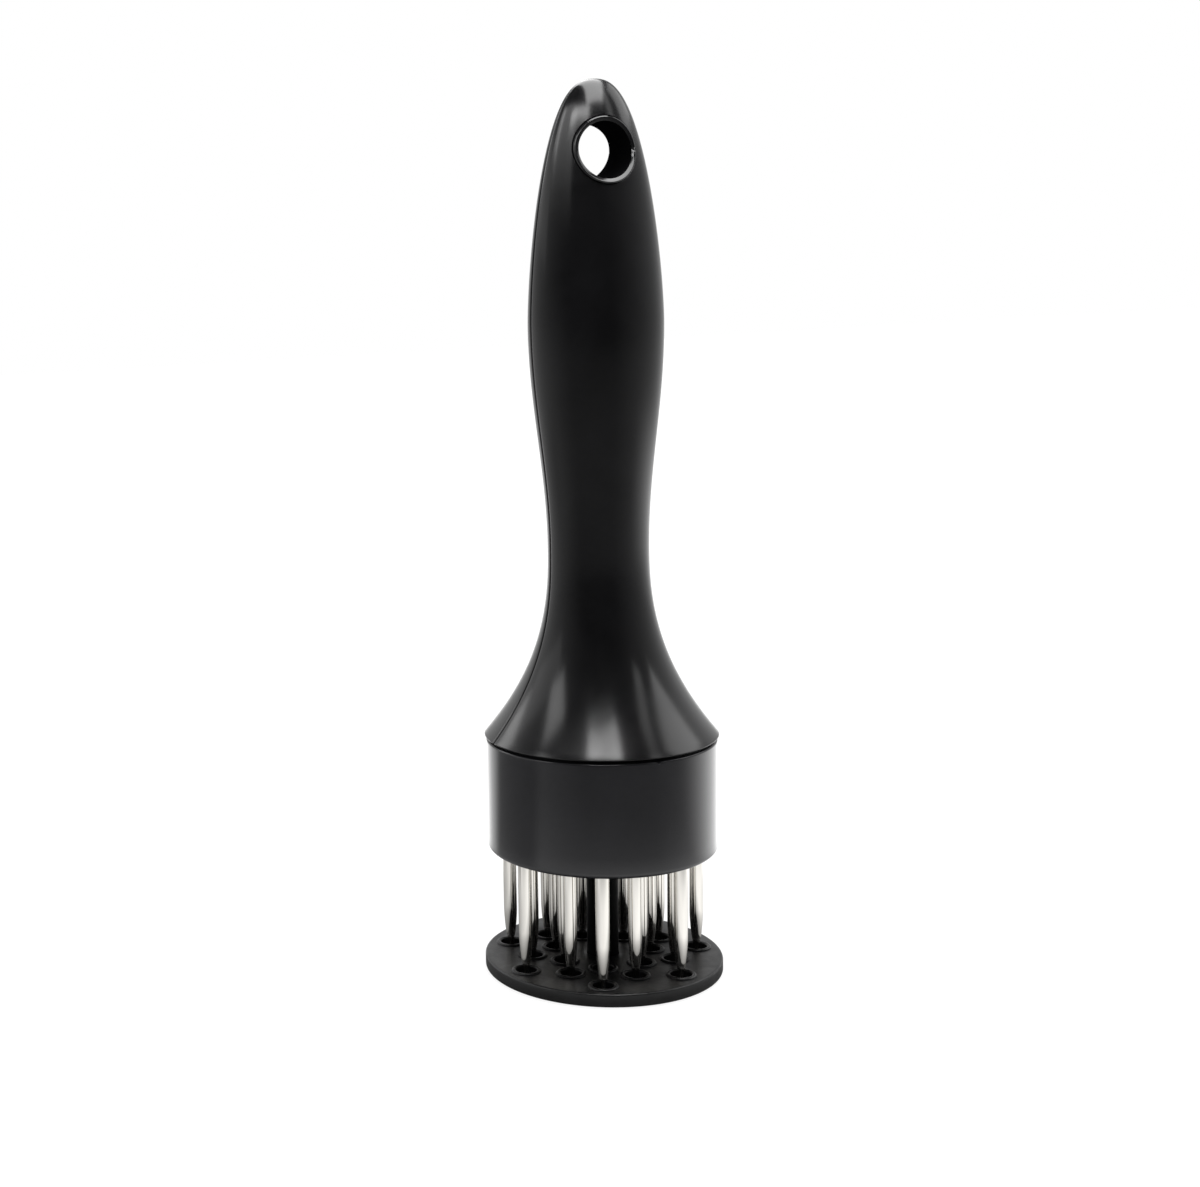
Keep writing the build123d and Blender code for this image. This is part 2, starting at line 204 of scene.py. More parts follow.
class Patchwork:
    """Patches of one surface, welded into a closed mesh."""

    def __init__(self) -> None:
        """Starts with no patches."""
        self.points: list[Array] = []
        self.faces: list[list[int]] = []
        self.count = 0

    def add_faces(self, points: Array, faces: Array) -> None:
        """Adds points and the faces between them.

        Args:
            points: Points in any grid.
            faces: Numbers of the points of each face.
        """
        self.points.append(points.reshape(-1, 3))
        self.faces.extend((faces + self.count).tolist())
        self.count += points.size // 3

    def add_grid(self, grid: Array, wrap_rows: bool = False, wrap_columns: bool = False) -> None:
        """Adds a grid of points, with one four-sided face in each cell.

        Args:
            grid: Points by row and column.
            wrap_rows: True if the last row joins the first.
            wrap_columns: True if the last column joins the first.
        """
        rows, columns = grid.shape[:2]
        number = np.arange(rows * columns).reshape(rows, columns)
        if wrap_rows:
            number = np.vstack([number, number[:1]])
        if wrap_columns:
            number = np.hstack([number, number[:, :1]])
        cells = [number[:-1, :-1], number[:-1, 1:], number[1:, 1:], number[1:, :-1]]
        self.add_faces(grid, np.stack(cells, axis=-1).reshape(-1, 4))

    def add_lathe(self, profile: Array, segments: int, centre: Point = AXIS) -> None:
        """Adds a surface of revolution about an upright axis."""
        self.add_grid(lathe(profile, segments, centre), wrap_columns=True)

    def add_flat(self, level: float, outline: Array, holes: list[Array], spacing: float = 2.5) -> None:
        """Adds a level face with round holes, as triangles between its outlines and a lattice of points.

        Args:
            level: Height of the face.
            outline: Points round its edge.
            holes: Points round each hole.
            spacing: Distance between the inner points.
        """
        loops = [outline, *holes]
        starts = np.cumsum([0, *[len(loop) for loop in loops[:-1]]])
        runs = [start + np.arange(len(loop)) for start, loop in zip(starts, loops)]
        edges = np.concatenate([np.stack([run, np.roll(run, -1)], axis=-1) for run in runs])
        reach = np.abs(outline).max()
        steps = np.arange(-reach, reach, spacing)
        lattice = np.stack(np.meshgrid(steps, steps), axis=-1).reshape(-1, 2)
        corners = np.concatenate(loops)
        apart = np.linalg.norm(lattice[:, None] - corners[None], axis=-1).min(axis=1) > spacing / 2
        points = list(map(Vector, np.concatenate([corners, lattice[apart]]).tolist()))
        found = delaunay_2d_cdt(points, list(map(tuple, edges.tolist())), [], INSIDE_ONLY, FLAT_TOLERANCE)
        flat = np.array(list(map(tuple, found[0])))
        faces = np.array(list(map(list, found[2])))
        middles = flat[faces].mean(axis=1)
        centres = np.array([hole.mean(axis=0) for hole in holes])
        radii = np.array([np.linalg.norm(hole[0] - centre) for hole, centre in zip(holes, centres)])
        solid = (np.linalg.norm(middles[:, None] - centres[None], axis=-1) > radii).all(axis=1)
        self.add_faces(np.column_stack([flat, np.full(len(flat), level)]), faces[solid])

    def build(self, name: str) -> MeshObject:
        """Welds the patches, turns the faces outwards and links the finished object.

        Args:
            name: Name of the object.

        Returns:
            The object, smooth shaded, with its sharp corners marked.
        """
        mesh = bpy.data.meshes.new(name)
        mesh.from_pydata((np.concatenate(self.points) * MM).tolist(), [], self.faces)
        work = bmesh.new()
        work.from_mesh(mesh)
        bmesh.ops.remove_doubles(work, verts=work.verts, dist=WELD_DISTANCE)
        bmesh.ops.dissolve_degenerate(work, edges=work.edges, dist=WELD_DISTANCE)
        bmesh.ops.recalc_face_normals(work, faces=work.faces)
        work.to_mesh(mesh)
        work.free()
        mesh.polygons.foreach_set("use_smooth", np.ones(len(mesh.polygons), bool))
        mesh.set_sharp_from_angle(angle=math.radians(SHARP_DEGREES))
        piece = bpy.data.objects.new(name, mesh)
        bpy.context.scene.collection.objects.link(piece)
        return piece


def fit(piece: MeshObject, node: str, body: Body, material: Material) -> MeshObject:
    """Dresses a piece, sets it on its body and lets it stand for its solid.

    Args:
        piece: Finished mesh object.
        node: Solid that it stands for.
        body: Body that it rides on.
        material: Material that covers it.

    Returns:
        The same piece.
    """
    piece.data.materials.append(material)
    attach(piece, body.value)
    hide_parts(node)
    LOG.info("%s: %d faces on %s", piece.name, len(piece.data.polygons), body.value)
    return piece


class NodeSheet:
    """Short way to lay shader nodes."""

    def __init__(self, tree: NodeTree) -> None:
        """Takes the tree to lay nodes in."""
        self.tree = tree

    def add(self, kind: str, inputs: dict | None = None, **settings: object) -> Node:
        """Adds a node.

        Args:
            kind: Blender's name of the node type, without the shared prefix.
            inputs: Socket values or sockets to link from, by socket name or number.
            settings: Properties of the node.

        Returns:
            The new node.
        """
        node = self.tree.nodes.new("ShaderNode" + kind)
        for key, value in settings.items():
            setattr(node, key, value)
        self.feed(node, inputs or {})
        return node

    def feed(self, node: Node, inputs: dict) -> None:
        """Sets or links inputs of a node.

        Args:
            node: Node to feed.
            inputs: Socket values or sockets to link from, by socket name or number.
        """
        for key, value in inputs.items():
            if isinstance(value, Socket):
                self.tree.links.new(value, node.inputs[key])
            else:
                node.inputs[key].default_value = value

    def math(self, operation: str, first: Socket, second: Socket | float) -> Socket:
        """Result of a sum on two values."""
        return self.add("Math", {0: first, 1: second}, operation=operation).outputs[0]

    def dot(self, first: Socket, second: Vector) -> Socket:
        """Dot product of a direction and a fixed vector."""
        return self.add("VectorMath", {0: first, 1: second}, operation="DOT_PRODUCT").outputs["Value"]

    def length(self, vector: Socket) -> Socket:
        """Length of a vector."""
        return self.add("VectorMath", {0: vector}, operation="LENGTH").outputs["Value"]

    def ramp(self, value: Socket, span: Point, low: Socket | float = 0.0, high: Socket | float = 1.0,
             smooth: bool = False) -> Socket:
        """Value that goes from low to high while another one crosses a span.

        Args:
            value: Socket with the value that crosses the span.
            span: Its first and last value.
            low: Result at the first value and before it.
            high: Result at the last value and beyond it.
            smooth: True for a smooth step, False for a straight line.

        Returns:
            Socket with the result.
        """
        kind = "SMOOTHSTEP" if smooth else "LINEAR"
        inputs = {"Value": value, "From Min": span[0], "From Max": span[1], "To Min": low, "To Max": high}
        return self.add("MapRange", inputs, interpolation_type=kind).outputs["Result"]

    def mix(self, factor: Socket, first: Socket | float, second: Socket | float,
            kind: str = "FLOAT") -> Socket:
        """Mix of two values, or of two colours if the kind is RGBA."""
        return self.add("Mix", {"Factor": factor, "A": first, "B": second}, data_type=kind).outputs["Result"]


class SurfaceGroup:
    """Shader node group that spreads two colours and roughnesses over a surface and puts out its height."""

    wear_span: Point = (0.3, 0.7)
    cloud_span: Point = (0.35, 0.68)
    streak_stretch: Triple = (1.0, 1.0, 0.06)

    def __init__(self, name: str, scales: tuple[str, ...]) -> None:
        """Starts the group with its sockets.

        Args:
            name: Name of the group.
            scales: Names of the inputs for the scales of its patterns.
        """
        inputs = {"Vector": "Vector", **dict.fromkeys(scales, "Float"), "Dark": "Color", "Light": "Color",
                  "Smooth": "Float", "Rough": "Float"}
        outputs = {"Color": "Color", "Roughness": "Float", "Height": "Float"}
        tree = bpy.data.node_groups.new(name, "ShaderNodeTree")
        for way, sockets in (("INPUT", inputs), ("OUTPUT", outputs)):
            for socket, kind in sockets.items():
                tree.interface.new_socket(socket, in_out=way, socket_type="NodeSocket" + kind)
        entry = tree.nodes.new("NodeGroupInput")
        self.leave = tree.nodes.new("NodeGroupOutput")
        self.given = {socket.name: socket for socket in entry.outputs}
        self.sheet = NodeSheet(tree)

    def finished(self, spread: Socket, wear: Socket, height: Socket) -> NodeTree:
        """Lays the nodes that every group ends with.

        Args:
            spread: Share of the light colour.
            wear: Pattern that raises the roughness.
            height: Pattern for the bump.

        Returns:
            The group's tree.
        """
        given = self.given
        colour = self.sheet.mix(spread, given["Dark"], given["Light"], "RGBA")
        rough = self.sheet.ramp(wear, self.wear_span, given["Smooth"], given["Rough"])
        self.sheet.feed(self.leave, {"Color": colour, "Roughness": rough, "Height": height})
        return self.sheet.tree


def moulded_group() -> NodeTree:
    """Moulded plastic: fine grain for the bump, and cloudy handling marks for the colour and roughness.

    Returns:
        The group's tree.
    """
    group = SurfaceGroup("moulded_surface", ("Grain Scale", "Cloud Scale"))
    given = group.given
    grain = group.sheet.add("TexNoise", {
        "Vector": given["Vector"], "Scale": given["Grain Scale"], "Detail": 3.0, "Roughness": 0.6,
    }).outputs["Fac"]
    cloud = group.sheet.add("TexNoise", {
        "Vector": given["Vector"], "Scale": given["Cloud Scale"], "Detail": 4.0, "Roughness": 0.55,
        "Distortion": 0.6,
    }).outputs["Fac"]
    return group.finished(group.sheet.ramp(cloud, group.cloud_span), cloud, grain)


def drawn_group() -> NodeTree:
    """Drawn steel: long streaks along the tool axis for the colour, the roughness and the bump.

    Returns:
        The group's tree.
    """
    group = SurfaceGroup("drawn_steel", ("Streak Scale",))
    given = group.given
    stretch = group.sheet.add("Mapping", {"Vector": given["Vector"], "Scale": group.streak_stretch})
    streak = group.sheet.add("TexNoise", {
        "Vector": stretch.outputs["Vector"], "Scale": given["Streak Scale"], "Detail": 4.0, "Roughness": 0.65,
    }).outputs["Fac"]
    return group.finished(streak, streak, streak)


@dataclass(frozen=True)
class Finish:
    """A surface finish: the shared effect group and its values, the bump, and plain values of the shader."""

    name: str
    group: NodeTree
    scales: dict[str, float]
    dark: Triple
    light: Triple
    smooth: float
    rough: float
    bump_strength: float
    bump_distance: float
    shader: dict[str, float] = field(default_factory=dict)

    def material(self) -> Material:
        """Lays the material: group into Base Color, Roughness and, through a Bump node, Normal.

        Returns:
            The finished material.
        """
        made = bpy.data.materials.new(self.name)
        made.use_nodes = True
        sheet = NodeSheet(made.node_tree)
        place = sheet.add("TexCoord").outputs["Object"]
        values = {
            "Dark": (*self.dark, 1.0), "Light": (*self.light, 1.0),
            "Smooth": self.smooth, "Rough": self.rough,
        }
        effect = sheet.add("Group", {"Vector": place, **self.scales, **values}, node_tree=self.group).outputs
        bump = sheet.add("Bump", {"Strength": self.bump_strength, "Distance": self.bump_distance,
                                  "Height": effect["Height"]})
        sheet.feed(made.node_tree.nodes["Principled BSDF"], {
            "Base Color": effect["Color"], "Roughness": effect["Roughness"], "Normal": bump.outputs["Normal"],
            **self.shader,
        })
        return made


@dataclass(frozen=True)
class ShadedCentreFinish(Finish):
    """Finish with painted needle shade: low specular level round the tool axis, high at the rim."""

    rim_span: Point = (0.019, 0.0245)
    shaded_gloss: float = 0.15
    rim_gloss: float = 0.6

    def material(self) -> Material:
        """Lays the finish; the specular level rises with the distance from the tool axis, as painted shade.

        Returns:
            The finished material.
        """
        made = super().material()
        sheet = NodeSheet(made.node_tree)
        place = sheet.add("TexCoord").outputs["Object"]
        flat = sheet.add("VectorMath", {0: place, 1: (1.0, 1.0, 0.0)}, operation="MULTIPLY").outputs["Vector"]
        # Painted shade: the specular level falls towards the tool axis, where the needles shade the plate.
        gloss = sheet.ramp(sheet.length(flat), self.rim_span, self.shaded_gloss, self.rim_gloss, smooth=True)
        sheet.feed(made.node_tree.nodes["Principled BSDF"], {"Specular IOR Level": gloss})
        return made


class Finishes:
    """Every material of the tool, each made once."""

    def __init__(self) -> None:
        """Builds the two effect groups and the materials that use them."""
        moulded = moulded_group()
        drawn = drawn_group()
        steel = {"Metallic": 1.0}
        self.gloss_black = Finish(
            "gloss_black_handle", moulded, {"Grain Scale": 2600.0, "Cloud Scale": 55.0},
            (0.003, 0.003, 0.0033), (0.005, 0.005, 0.0056), 0.15, 0.22, 0.05, 0.00002,
        ).material()
        self.gloss_ring = Finish(
            "gloss_black_ring", moulded, {"Grain Scale": 2600.0, "Cloud Scale": 180.0},
            (0.003, 0.003, 0.0033), (0.005, 0.005, 0.0056), 0.1, 0.16, 0.05, 0.00002,
        ).material()
        # Painted shade: the bore is darker than the handle and has no specular reflection, for the shade inside
        # the hole.
        self.shaded_bore = Finish(
            "shaded_black_bore", moulded, {"Grain Scale": 1900.0, "Cloud Scale": 180.0},
            (0.002, 0.002, 0.0022), (0.0034, 0.0034, 0.0037), 0.5, 0.62, 0.1, 0.00004,
            {"Specular IOR Level": 0.0},
        ).material()
        self.satin_black = Finish(
            "satin_black_collar", moulded, {"Grain Scale": 1900.0, "Cloud Scale": 70.0},
            (0.0105, 0.0105, 0.0121), (0.0131, 0.0131, 0.015), 0.14, 0.18, 0.12, 0.00004,
        ).material()
        # The plate's specular level carries painted shade round the tool axis.
        self.matte_black = ShadedCentreFinish(
            "matte_black_plate", moulded, {"Grain Scale": 1200.0, "Cloud Scale": 210.0},
            (0.0014, 0.0014, 0.0016), (0.0052, 0.0052, 0.0056), 0.28, 0.46, 0.35, 0.00007,
        ).material()
        self.dark_post = Finish(
            "dark_post", moulded, {"Grain Scale": 1900.0, "Cloud Scale": 90.0},
            (0.0016, 0.0016, 0.0018), (0.0032, 0.0032, 0.0036), 0.45, 0.55, 0.12, 0.00004,
            {"Specular IOR Level": 0.06},
        ).material()
        self.polished_steel = Finish(
            "polished_needle_steel", drawn, {"Streak Scale": 900.0},
            (0.66, 0.64, 0.6), (0.8, 0.78, 0.74), 0.03, 0.09, 0.04, 0.00002, steel,
        ).material()
        self.plain_steel = Finish(
            "plain_screw_steel", drawn, {"Streak Scale": 700.0},
            (0.5, 0.5, 0.5), (0.64, 0.64, 0.63), 0.22, 0.36, 0.1, 0.00003, steel,
        ).material()
        self.spring_steel = Finish(
            "drawn_spring_steel", drawn, {"Streak Scale": 800.0},
            (0.42, 0.42, 0.43), (0.56, 0.56, 0.57), 0.2, 0.34, 0.1, 0.00003, steel,
        ).material()


@dataclass(frozen=True)
class HandleForm:
    """Outside of the handle: a round flare, an oval waist that swells to the grip, and a rounded crown."""

    flare_radius: float
    flare_level: float
    neck_level: float
    grip_level: float
    top: float
    flare_power: float = 2.45
    neck_half_width: float = 11.35
    neck_depth_share: float = 0.76
    crown_depth_share: float = 0.51
    grip_half_width: float = 15.1
    crown_fullness: float = 1.55
    crown_roundness: float = 2.54

    @classmethod
    def standing_on(cls, base: float, radius: float, top: float) -> "HandleForm":
        """Form whose lip, neck and grip are counted from the handle's lower edge."""
        return cls(radius, base + LIP_HEIGHT, base + NECK_HEIGHT, base + GRIP_HEIGHT, top)

    def half_width(self, level: Array) -> Array:
        """Half width at each level.

        Below the neck it falls by a power of the way left to the neck, then it follows half a cosine wave to
        the grip, and above that a superellipse closes it at the top.

        Args:
            level: Heights to work it out at.

        Returns:
            Half width at each height.
        """
        fall = share(level, self.neck_level, self.flare_level)
        swell = share(level, self.neck_level, self.grip_level)
        rise = share(level, self.grip_level, self.top)
        flare = (self.flare_radius - self.neck_half_width) * fall**self.flare_power
        growth = self.grip_half_width - self.neck_half_width
        body = self.neck_half_width + growth * (1 - np.cos(np.pi * swell)) / 2
        crown = (1 - rise**self.crown_fullness) ** (1 / self.crown_roundness)
        return (flare + body) * crown

    def lip_slope(self) -> float:
        """How fast the half width shrinks with height just above the lip."""
        step = self.flare_radius - self.neck_half_width
        return self.flare_power * step / (self.neck_level - self.flare_level)

    def half_depth(self, level: Array) -> Array:
        """Half depth at each level.

        It equals the half width at the flare, is a share of it at the neck, and falls to a smaller share at
        the top with the square of the way there.

        Args:
            level: Heights to work it out at.

        Returns:
            Half depth at each height.
        """
        blend = eased(share(level, self.flare_level, self.neck_level))
        above = share(level, self.neck_level, self.top)
        depth_share = self.neck_depth_share + (self.crown_depth_share - self.neck_depth_share) * above**2
        return self.half_width(level) * (1 - (1 - depth_share) * blend)

    def depth_at(self, x: Array, level: Array) -> Array:
        """Distance of the surface from the seam plane, above the point (x, level) of that plane."""
        across = np.clip(x / np.maximum(self.half_width(level), TINY), -1, 1)
        return self.half_depth(level) * np.sqrt(1 - across**2)


@dataclass(frozen=True)
class HandleShells:
    """Two hollow halves of the handle, with rounded edges along the seam and round the hanging hole."""

    form: HandleForm
    hole_level: float
    sleeve_radius: float
    collar_top: float
    collar_bore: float
    hole_gap: float = 0.1
    hole_round: float = 0.12
    seam_half_width: float = 0.45
    seam_depth: float = 0.75
    seam_depth_limit: float = 0.35
    wall: float = 2.4
    ceiling_drop: float = 7.0
    seam_gap: float = 0.8
    lip_round: float = 0.08
    lip_steps: int = 5
    lip_crest_round: float = 0.12
    lip_crest_steps: int = 4
    step_inset: float = 2.2
    spigot_depth: float = 6.0
    spigot_wall: float = 1.8
    spigot_gap: float = 0.1
    columns: int = 50
    column_crowding: float = 1.6
    round_steps: int = 6
    flare_rows: int = 50
    flare_crowding: float = 1.25
    waist_rows: int = 34
    grip_rows: int = 20
    edge_rows: int = 5
    hole_rows: int = 49
    crown_rows: int = 22

    @property
    def hole_radius(self) -> float:
        """Radius of the opening that takes the sleeve."""
        return self.sleeve_radius + self.hole_gap

    @property
    def spigot_radius(self) -> float:
        """Radius of the spigot that drops into the collar."""
        return self.collar_bore - self.spigot_gap

    def foot(self) -> Array:
        """Outline of the spigot, the shadow groove and the lip.

        Returns:
            Radius and level of each row.
        """
        radius = self.form.flare_radius
        inner = radius - self.step_inset
        spigot = self.spigot_radius
        base = self.collar_top + self.seam_gap
        slope = math.degrees(math.atan(self.form.lip_slope()))
        crest = self.lip_crest_round
        crest_level = self.form.flare_level - crest * math.tan(math.radians(slope / 2))
        return joined(
            [(spigot, self.collar_top - self.spigot_depth), (spigot, self.collar_top)],
            [(inner, self.collar_top), (inner, base)],
            Corner.LOWER_EDGE.rounded(radius, base, self.lip_round, self.lip_steps),
            arc((radius - crest, crest_level), crest, 0, slope, self.lip_crest_steps),
        )

    def rows(self) -> Array:
        """Rows of the surface, from the spigot to the crown.

        Rows crowd together at the foot, at the lower and upper edge of the hole, and towards the crown, where
        the spacing shrinks with the square of the distance left.

        Returns:
            Level, half width and half depth of each row.
        """
        form = self.form
        foot = self.foot()
        reach = self.hole_radius
        edge = self.hole_round
        hole_low = self.hole_level - reach
        hole_high = self.hole_level + reach
        rise = foot[-1, 1] - form.neck_level
        runs = [
            form.neck_level + rise * np.linspace(1, 0, self.flare_rows) ** self.flare_crowding,
            np.linspace(form.neck_level, form.grip_level, self.waist_rows),
            np.linspace(form.grip_level, hole_low - edge, self.grip_rows),
            np.linspace(hole_low - edge, hole_low, self.edge_rows),
            self.hole_level + reach * np.sin(np.radians(np.linspace(-90, 90, self.hole_rows))),
            np.linspace(hole_high, hole_high + edge, self.edge_rows),
            form.top - (form.top - hole_high - edge) * np.linspace(1, 0, self.crown_rows) ** 2,
        ]
        level = np.concatenate([run[1:] for run in runs])
        upper = np.stack([level, form.half_width(level), form.half_depth(level)], axis=-1)
        return np.concatenate([foot[:, [1, 0, 0]], upper])

    def hole_half_width(self, level: Array) -> Array:
        """Half width of the hole at each level, from the circle's equation."""
        return np.sqrt(np.maximum(self.hole_radius**2 - (level - self.hole_level) ** 2, 0))

    def outer_quarter(self, rows: Array) -> Array:
        """Outside of the front half left of the middle, from the hole or the middle line to the seam.

        Each row is an ellipse arc, x = -a sin(t) and y = -b cos(t), with t spread from the hole's edge to the
        seam. Points close to the hole sink along a quarter circle, and a quarter ellipse turns in at the
        seam.

        Args:
            rows: Level, half width and half depth of each row.

        Returns:
            Grid of points.
        """
        level, width, depth = (column[:, None] for column in rows.T)
        groove = np.minimum(self.seam_half_width, self.seam_depth_limit * depth)
        groove_depth = groove * self.seam_depth / self.seam_half_width
        start = np.arcsin(np.clip(self.hole_half_width(level) / np.maximum(width, TINY), 0, 1))
        end = np.arccos(np.clip(groove / np.maximum(depth, TINY), 0, 1))
        turn = start + (end - start) * np.linspace(0, 1, self.columns) ** self.column_crowding
        x = -width * np.sin(turn)
        y = -depth * np.cos(turn)
        near = (self.hole_radius + self.hole_round - np.hypot(x, level - self.hole_level)) / self.hole_round
        y = y + self.hole_round * (1 - np.sqrt(1 - np.clip(near, 0, 1) ** 2))
        bend = np.radians(np.linspace(0, 90, self.round_steps + 1))[1:]
        x = np.hstack([x, x[:, -1:] + groove_depth * (1 - np.cos(bend))])
        y = np.hstack([y, -groove * (1 - np.sin(bend))])
        return np.stack([x, y, np.broadcast_to(level, x.shape)], axis=-1)

    def inner_quarter(self, rows: Array) -> Array:
        """Inside of the same quarter: the outside drawn in by the wall, with a flat ceiling under the crown.

        Args:
            rows: Level, half width and half depth of each row of the outside.

        Returns:
            Grid of points, as many as the outside has.
        """
        level, width, _ = (column[:, None] for column in rows.T)
        ceiling = self.form.top - self.ceiling_drop
        is_roof = level > ceiling
        is_foot = level < self.form.flare_level
        shrink = np.where(is_roof, width / self.form.half_width(np.array(ceiling)), 1.0)
        capped = np.minimum(level, ceiling)
        limit = self.spigot_radius - self.spigot_wall
        width_in, depth_in = (
            np.where(is_foot, limit, np.minimum(half(capped) - self.wall, limit)) * shrink
            for half in (self.form.half_width, self.form.half_depth)
        )
        start = np.arcsin(np.clip(self.hole_half_width(level) / np.maximum(width_in, TINY), 0, 1))
        start = np.where(is_roof, 0.0, start)
        turn = start + (np.pi / 2 - start) * np.linspace(0, 1, self.columns + self.round_steps)
        x = -width_in * np.sin(turn)
        y = -depth_in * np.cos(turn)
        return np.stack([x, y, np.broadcast_to(capped, x.shape)], axis=-1)

    def quarter(self) -> list[Array]:
        """Patches of a quarter.

        Returns:
            Grids of the outside, the inside, the seam face, the lower edge and the wall of the hole.
        """
        rows = self.rows()
        outer = self.outer_quarter(rows)
        inner = self.inner_quarter(rows)
        at_hole = np.abs(rows[:, 0] - self.hole_level) < self.hole_radius + TINY
        return [
            outer,
            inner,
            np.stack([outer[:, -1], inner[:, -1]], axis=1),
            np.stack([outer[0], inner[0]]),
            np.stack([outer[at_hole, 0], inner[at_hole, 0]], axis=1),
        ]

    def build(self, finishes: Finishes) -> None:
        """Mirrors the quarter into the front and the rear shell.

        Args:
            finishes: Materials of the tool.
        """
        patches = self.quarter()
        for name, side in (("handle_front_shell", 1), ("handle_rear_shell", -1)):
            shell = Patchwork()
            for mirror in (1, -1):
                for patch in patches:
                    shell.add_grid(patch * (mirror, side, 1))
            fit(shell.build("gloss_" + name), name, Body.HANDLE, finishes.gloss_black)


@dataclass(frozen=True)
class HoleSleeve:
    """Tube that lines the hanging hole and ends in a rounded ring on each side."""

    form: HandleForm
    level: float
    bore_radius: float
    outer_radius: float
    proud: float = 0.05
    bead: float = 0.55
    crest_share: float = 0.3
    flank_fall: float = 0.9
    flank_power: float = 1.3
    nick_depth: float = 0.8
    nick_width: float = 0.035
    rise_points: int = 7
    fall_points: int = 8
    bore_points: int = 11
    back_points: int = 3
    bore_margin: float = 0.01
    segments: int = 192

    def profile(self) -> tuple[Array, Array, Array]:
        """Outline of the tube's wall.

        The front ring rises from its outer edge by a quarter ellipse to its crest, and falls to the bore by a
        flank that steepens with a power of the way there. The bore runs to the rear ring, and the outside
        runs back.

        Returns:
            Radius of each point, its side (-1 at the front end, 1 at the rear), and how far it stands out.
        """
        lip = (self.outer_radius - self.bore_radius) * self.crest_share
        crest = self.outer_radius - lip
        rise = np.radians(np.linspace(0, 90, self.rise_points))
        fall = np.linspace(0, 1, self.fall_points + 1)[1:]
        ring_radius = np.concatenate([
            self.outer_radius - lip * (1 - np.cos(rise)), crest - (crest - self.bore_radius) * fall,
        ])
        ring_height = np.concatenate([np.sin(rise), 1 - self.flank_fall * fall**self.flank_power])
        ring_proud = self.proud + self.bead * ring_height
        ring_side = np.ones(len(ring_radius))
        along = np.linspace(-1, 1, self.bore_points + 2)[1:-1]
        back = np.linspace(1, -1, self.back_points + 2)[1:-1]
        bore = np.ones(len(along))
        outside = np.ones(len(back))
        radius = [ring_radius, bore * self.bore_radius, ring_radius[::-1], outside * self.outer_radius]
        side = [-ring_side, along, ring_side, back]
        proud = [ring_proud, bore * self.proud, ring_proud[::-1], outside * self.proud]
        return np.concatenate(radius), np.concatenate(side), np.concatenate(proud)

    def build(self, finishes: Finishes) -> None:
        """Carries the profile round the hole, with its ends on the handle's surface.

        The nick flattens the ring by a bell curve of the angle.

        Args:
            finishes: Materials of the tool.
        """
        radius, side, proud = (row[:, None] for row in self.profile())
        turn = turn_angles(self.segments, -180)
        x = radius * np.cos(turn)
        z = self.level + radius * np.sin(turn)
        nick = 1 - self.nick_depth * np.exp(-((turn / self.nick_width) ** 2))
        y = side * (self.form.depth_at(x, z) + proud * nick)
        sleeve = Patchwork()
        sleeve.add_grid(np.stack([x, y, z], axis=-1), wrap_rows=True, wrap_columns=True)
        piece = fit(sleeve.build("ringed_hang_hole_sleeve"), "hang_hole_sleeve", Body.HANDLE,
                    finishes.gloss_ring)
        self.dress_bore(piece, finishes)

    def dress_bore(self, piece: MeshObject, finishes: Finishes) -> None:
        """Gives the faces nearest the bore's axis the painted shade: darker, with no reflection.

        Args:
            piece: The sleeve.
            finishes: Materials of the tool.
        """
        piece.data.materials.append(finishes.shaded_bore)
        centres = np.empty(len(piece.data.polygons) * 3)
        piece.data.polygons.foreach_get("center", centres)
        centres = centres.reshape(-1, 3) / MM
        inside = np.hypot(centres[:, 0], centres[:, 2] - self.level) < self.bore_radius + self.bore_margin
        piece.data.polygons.foreach_set("material_index", inside.astype(np.int32))


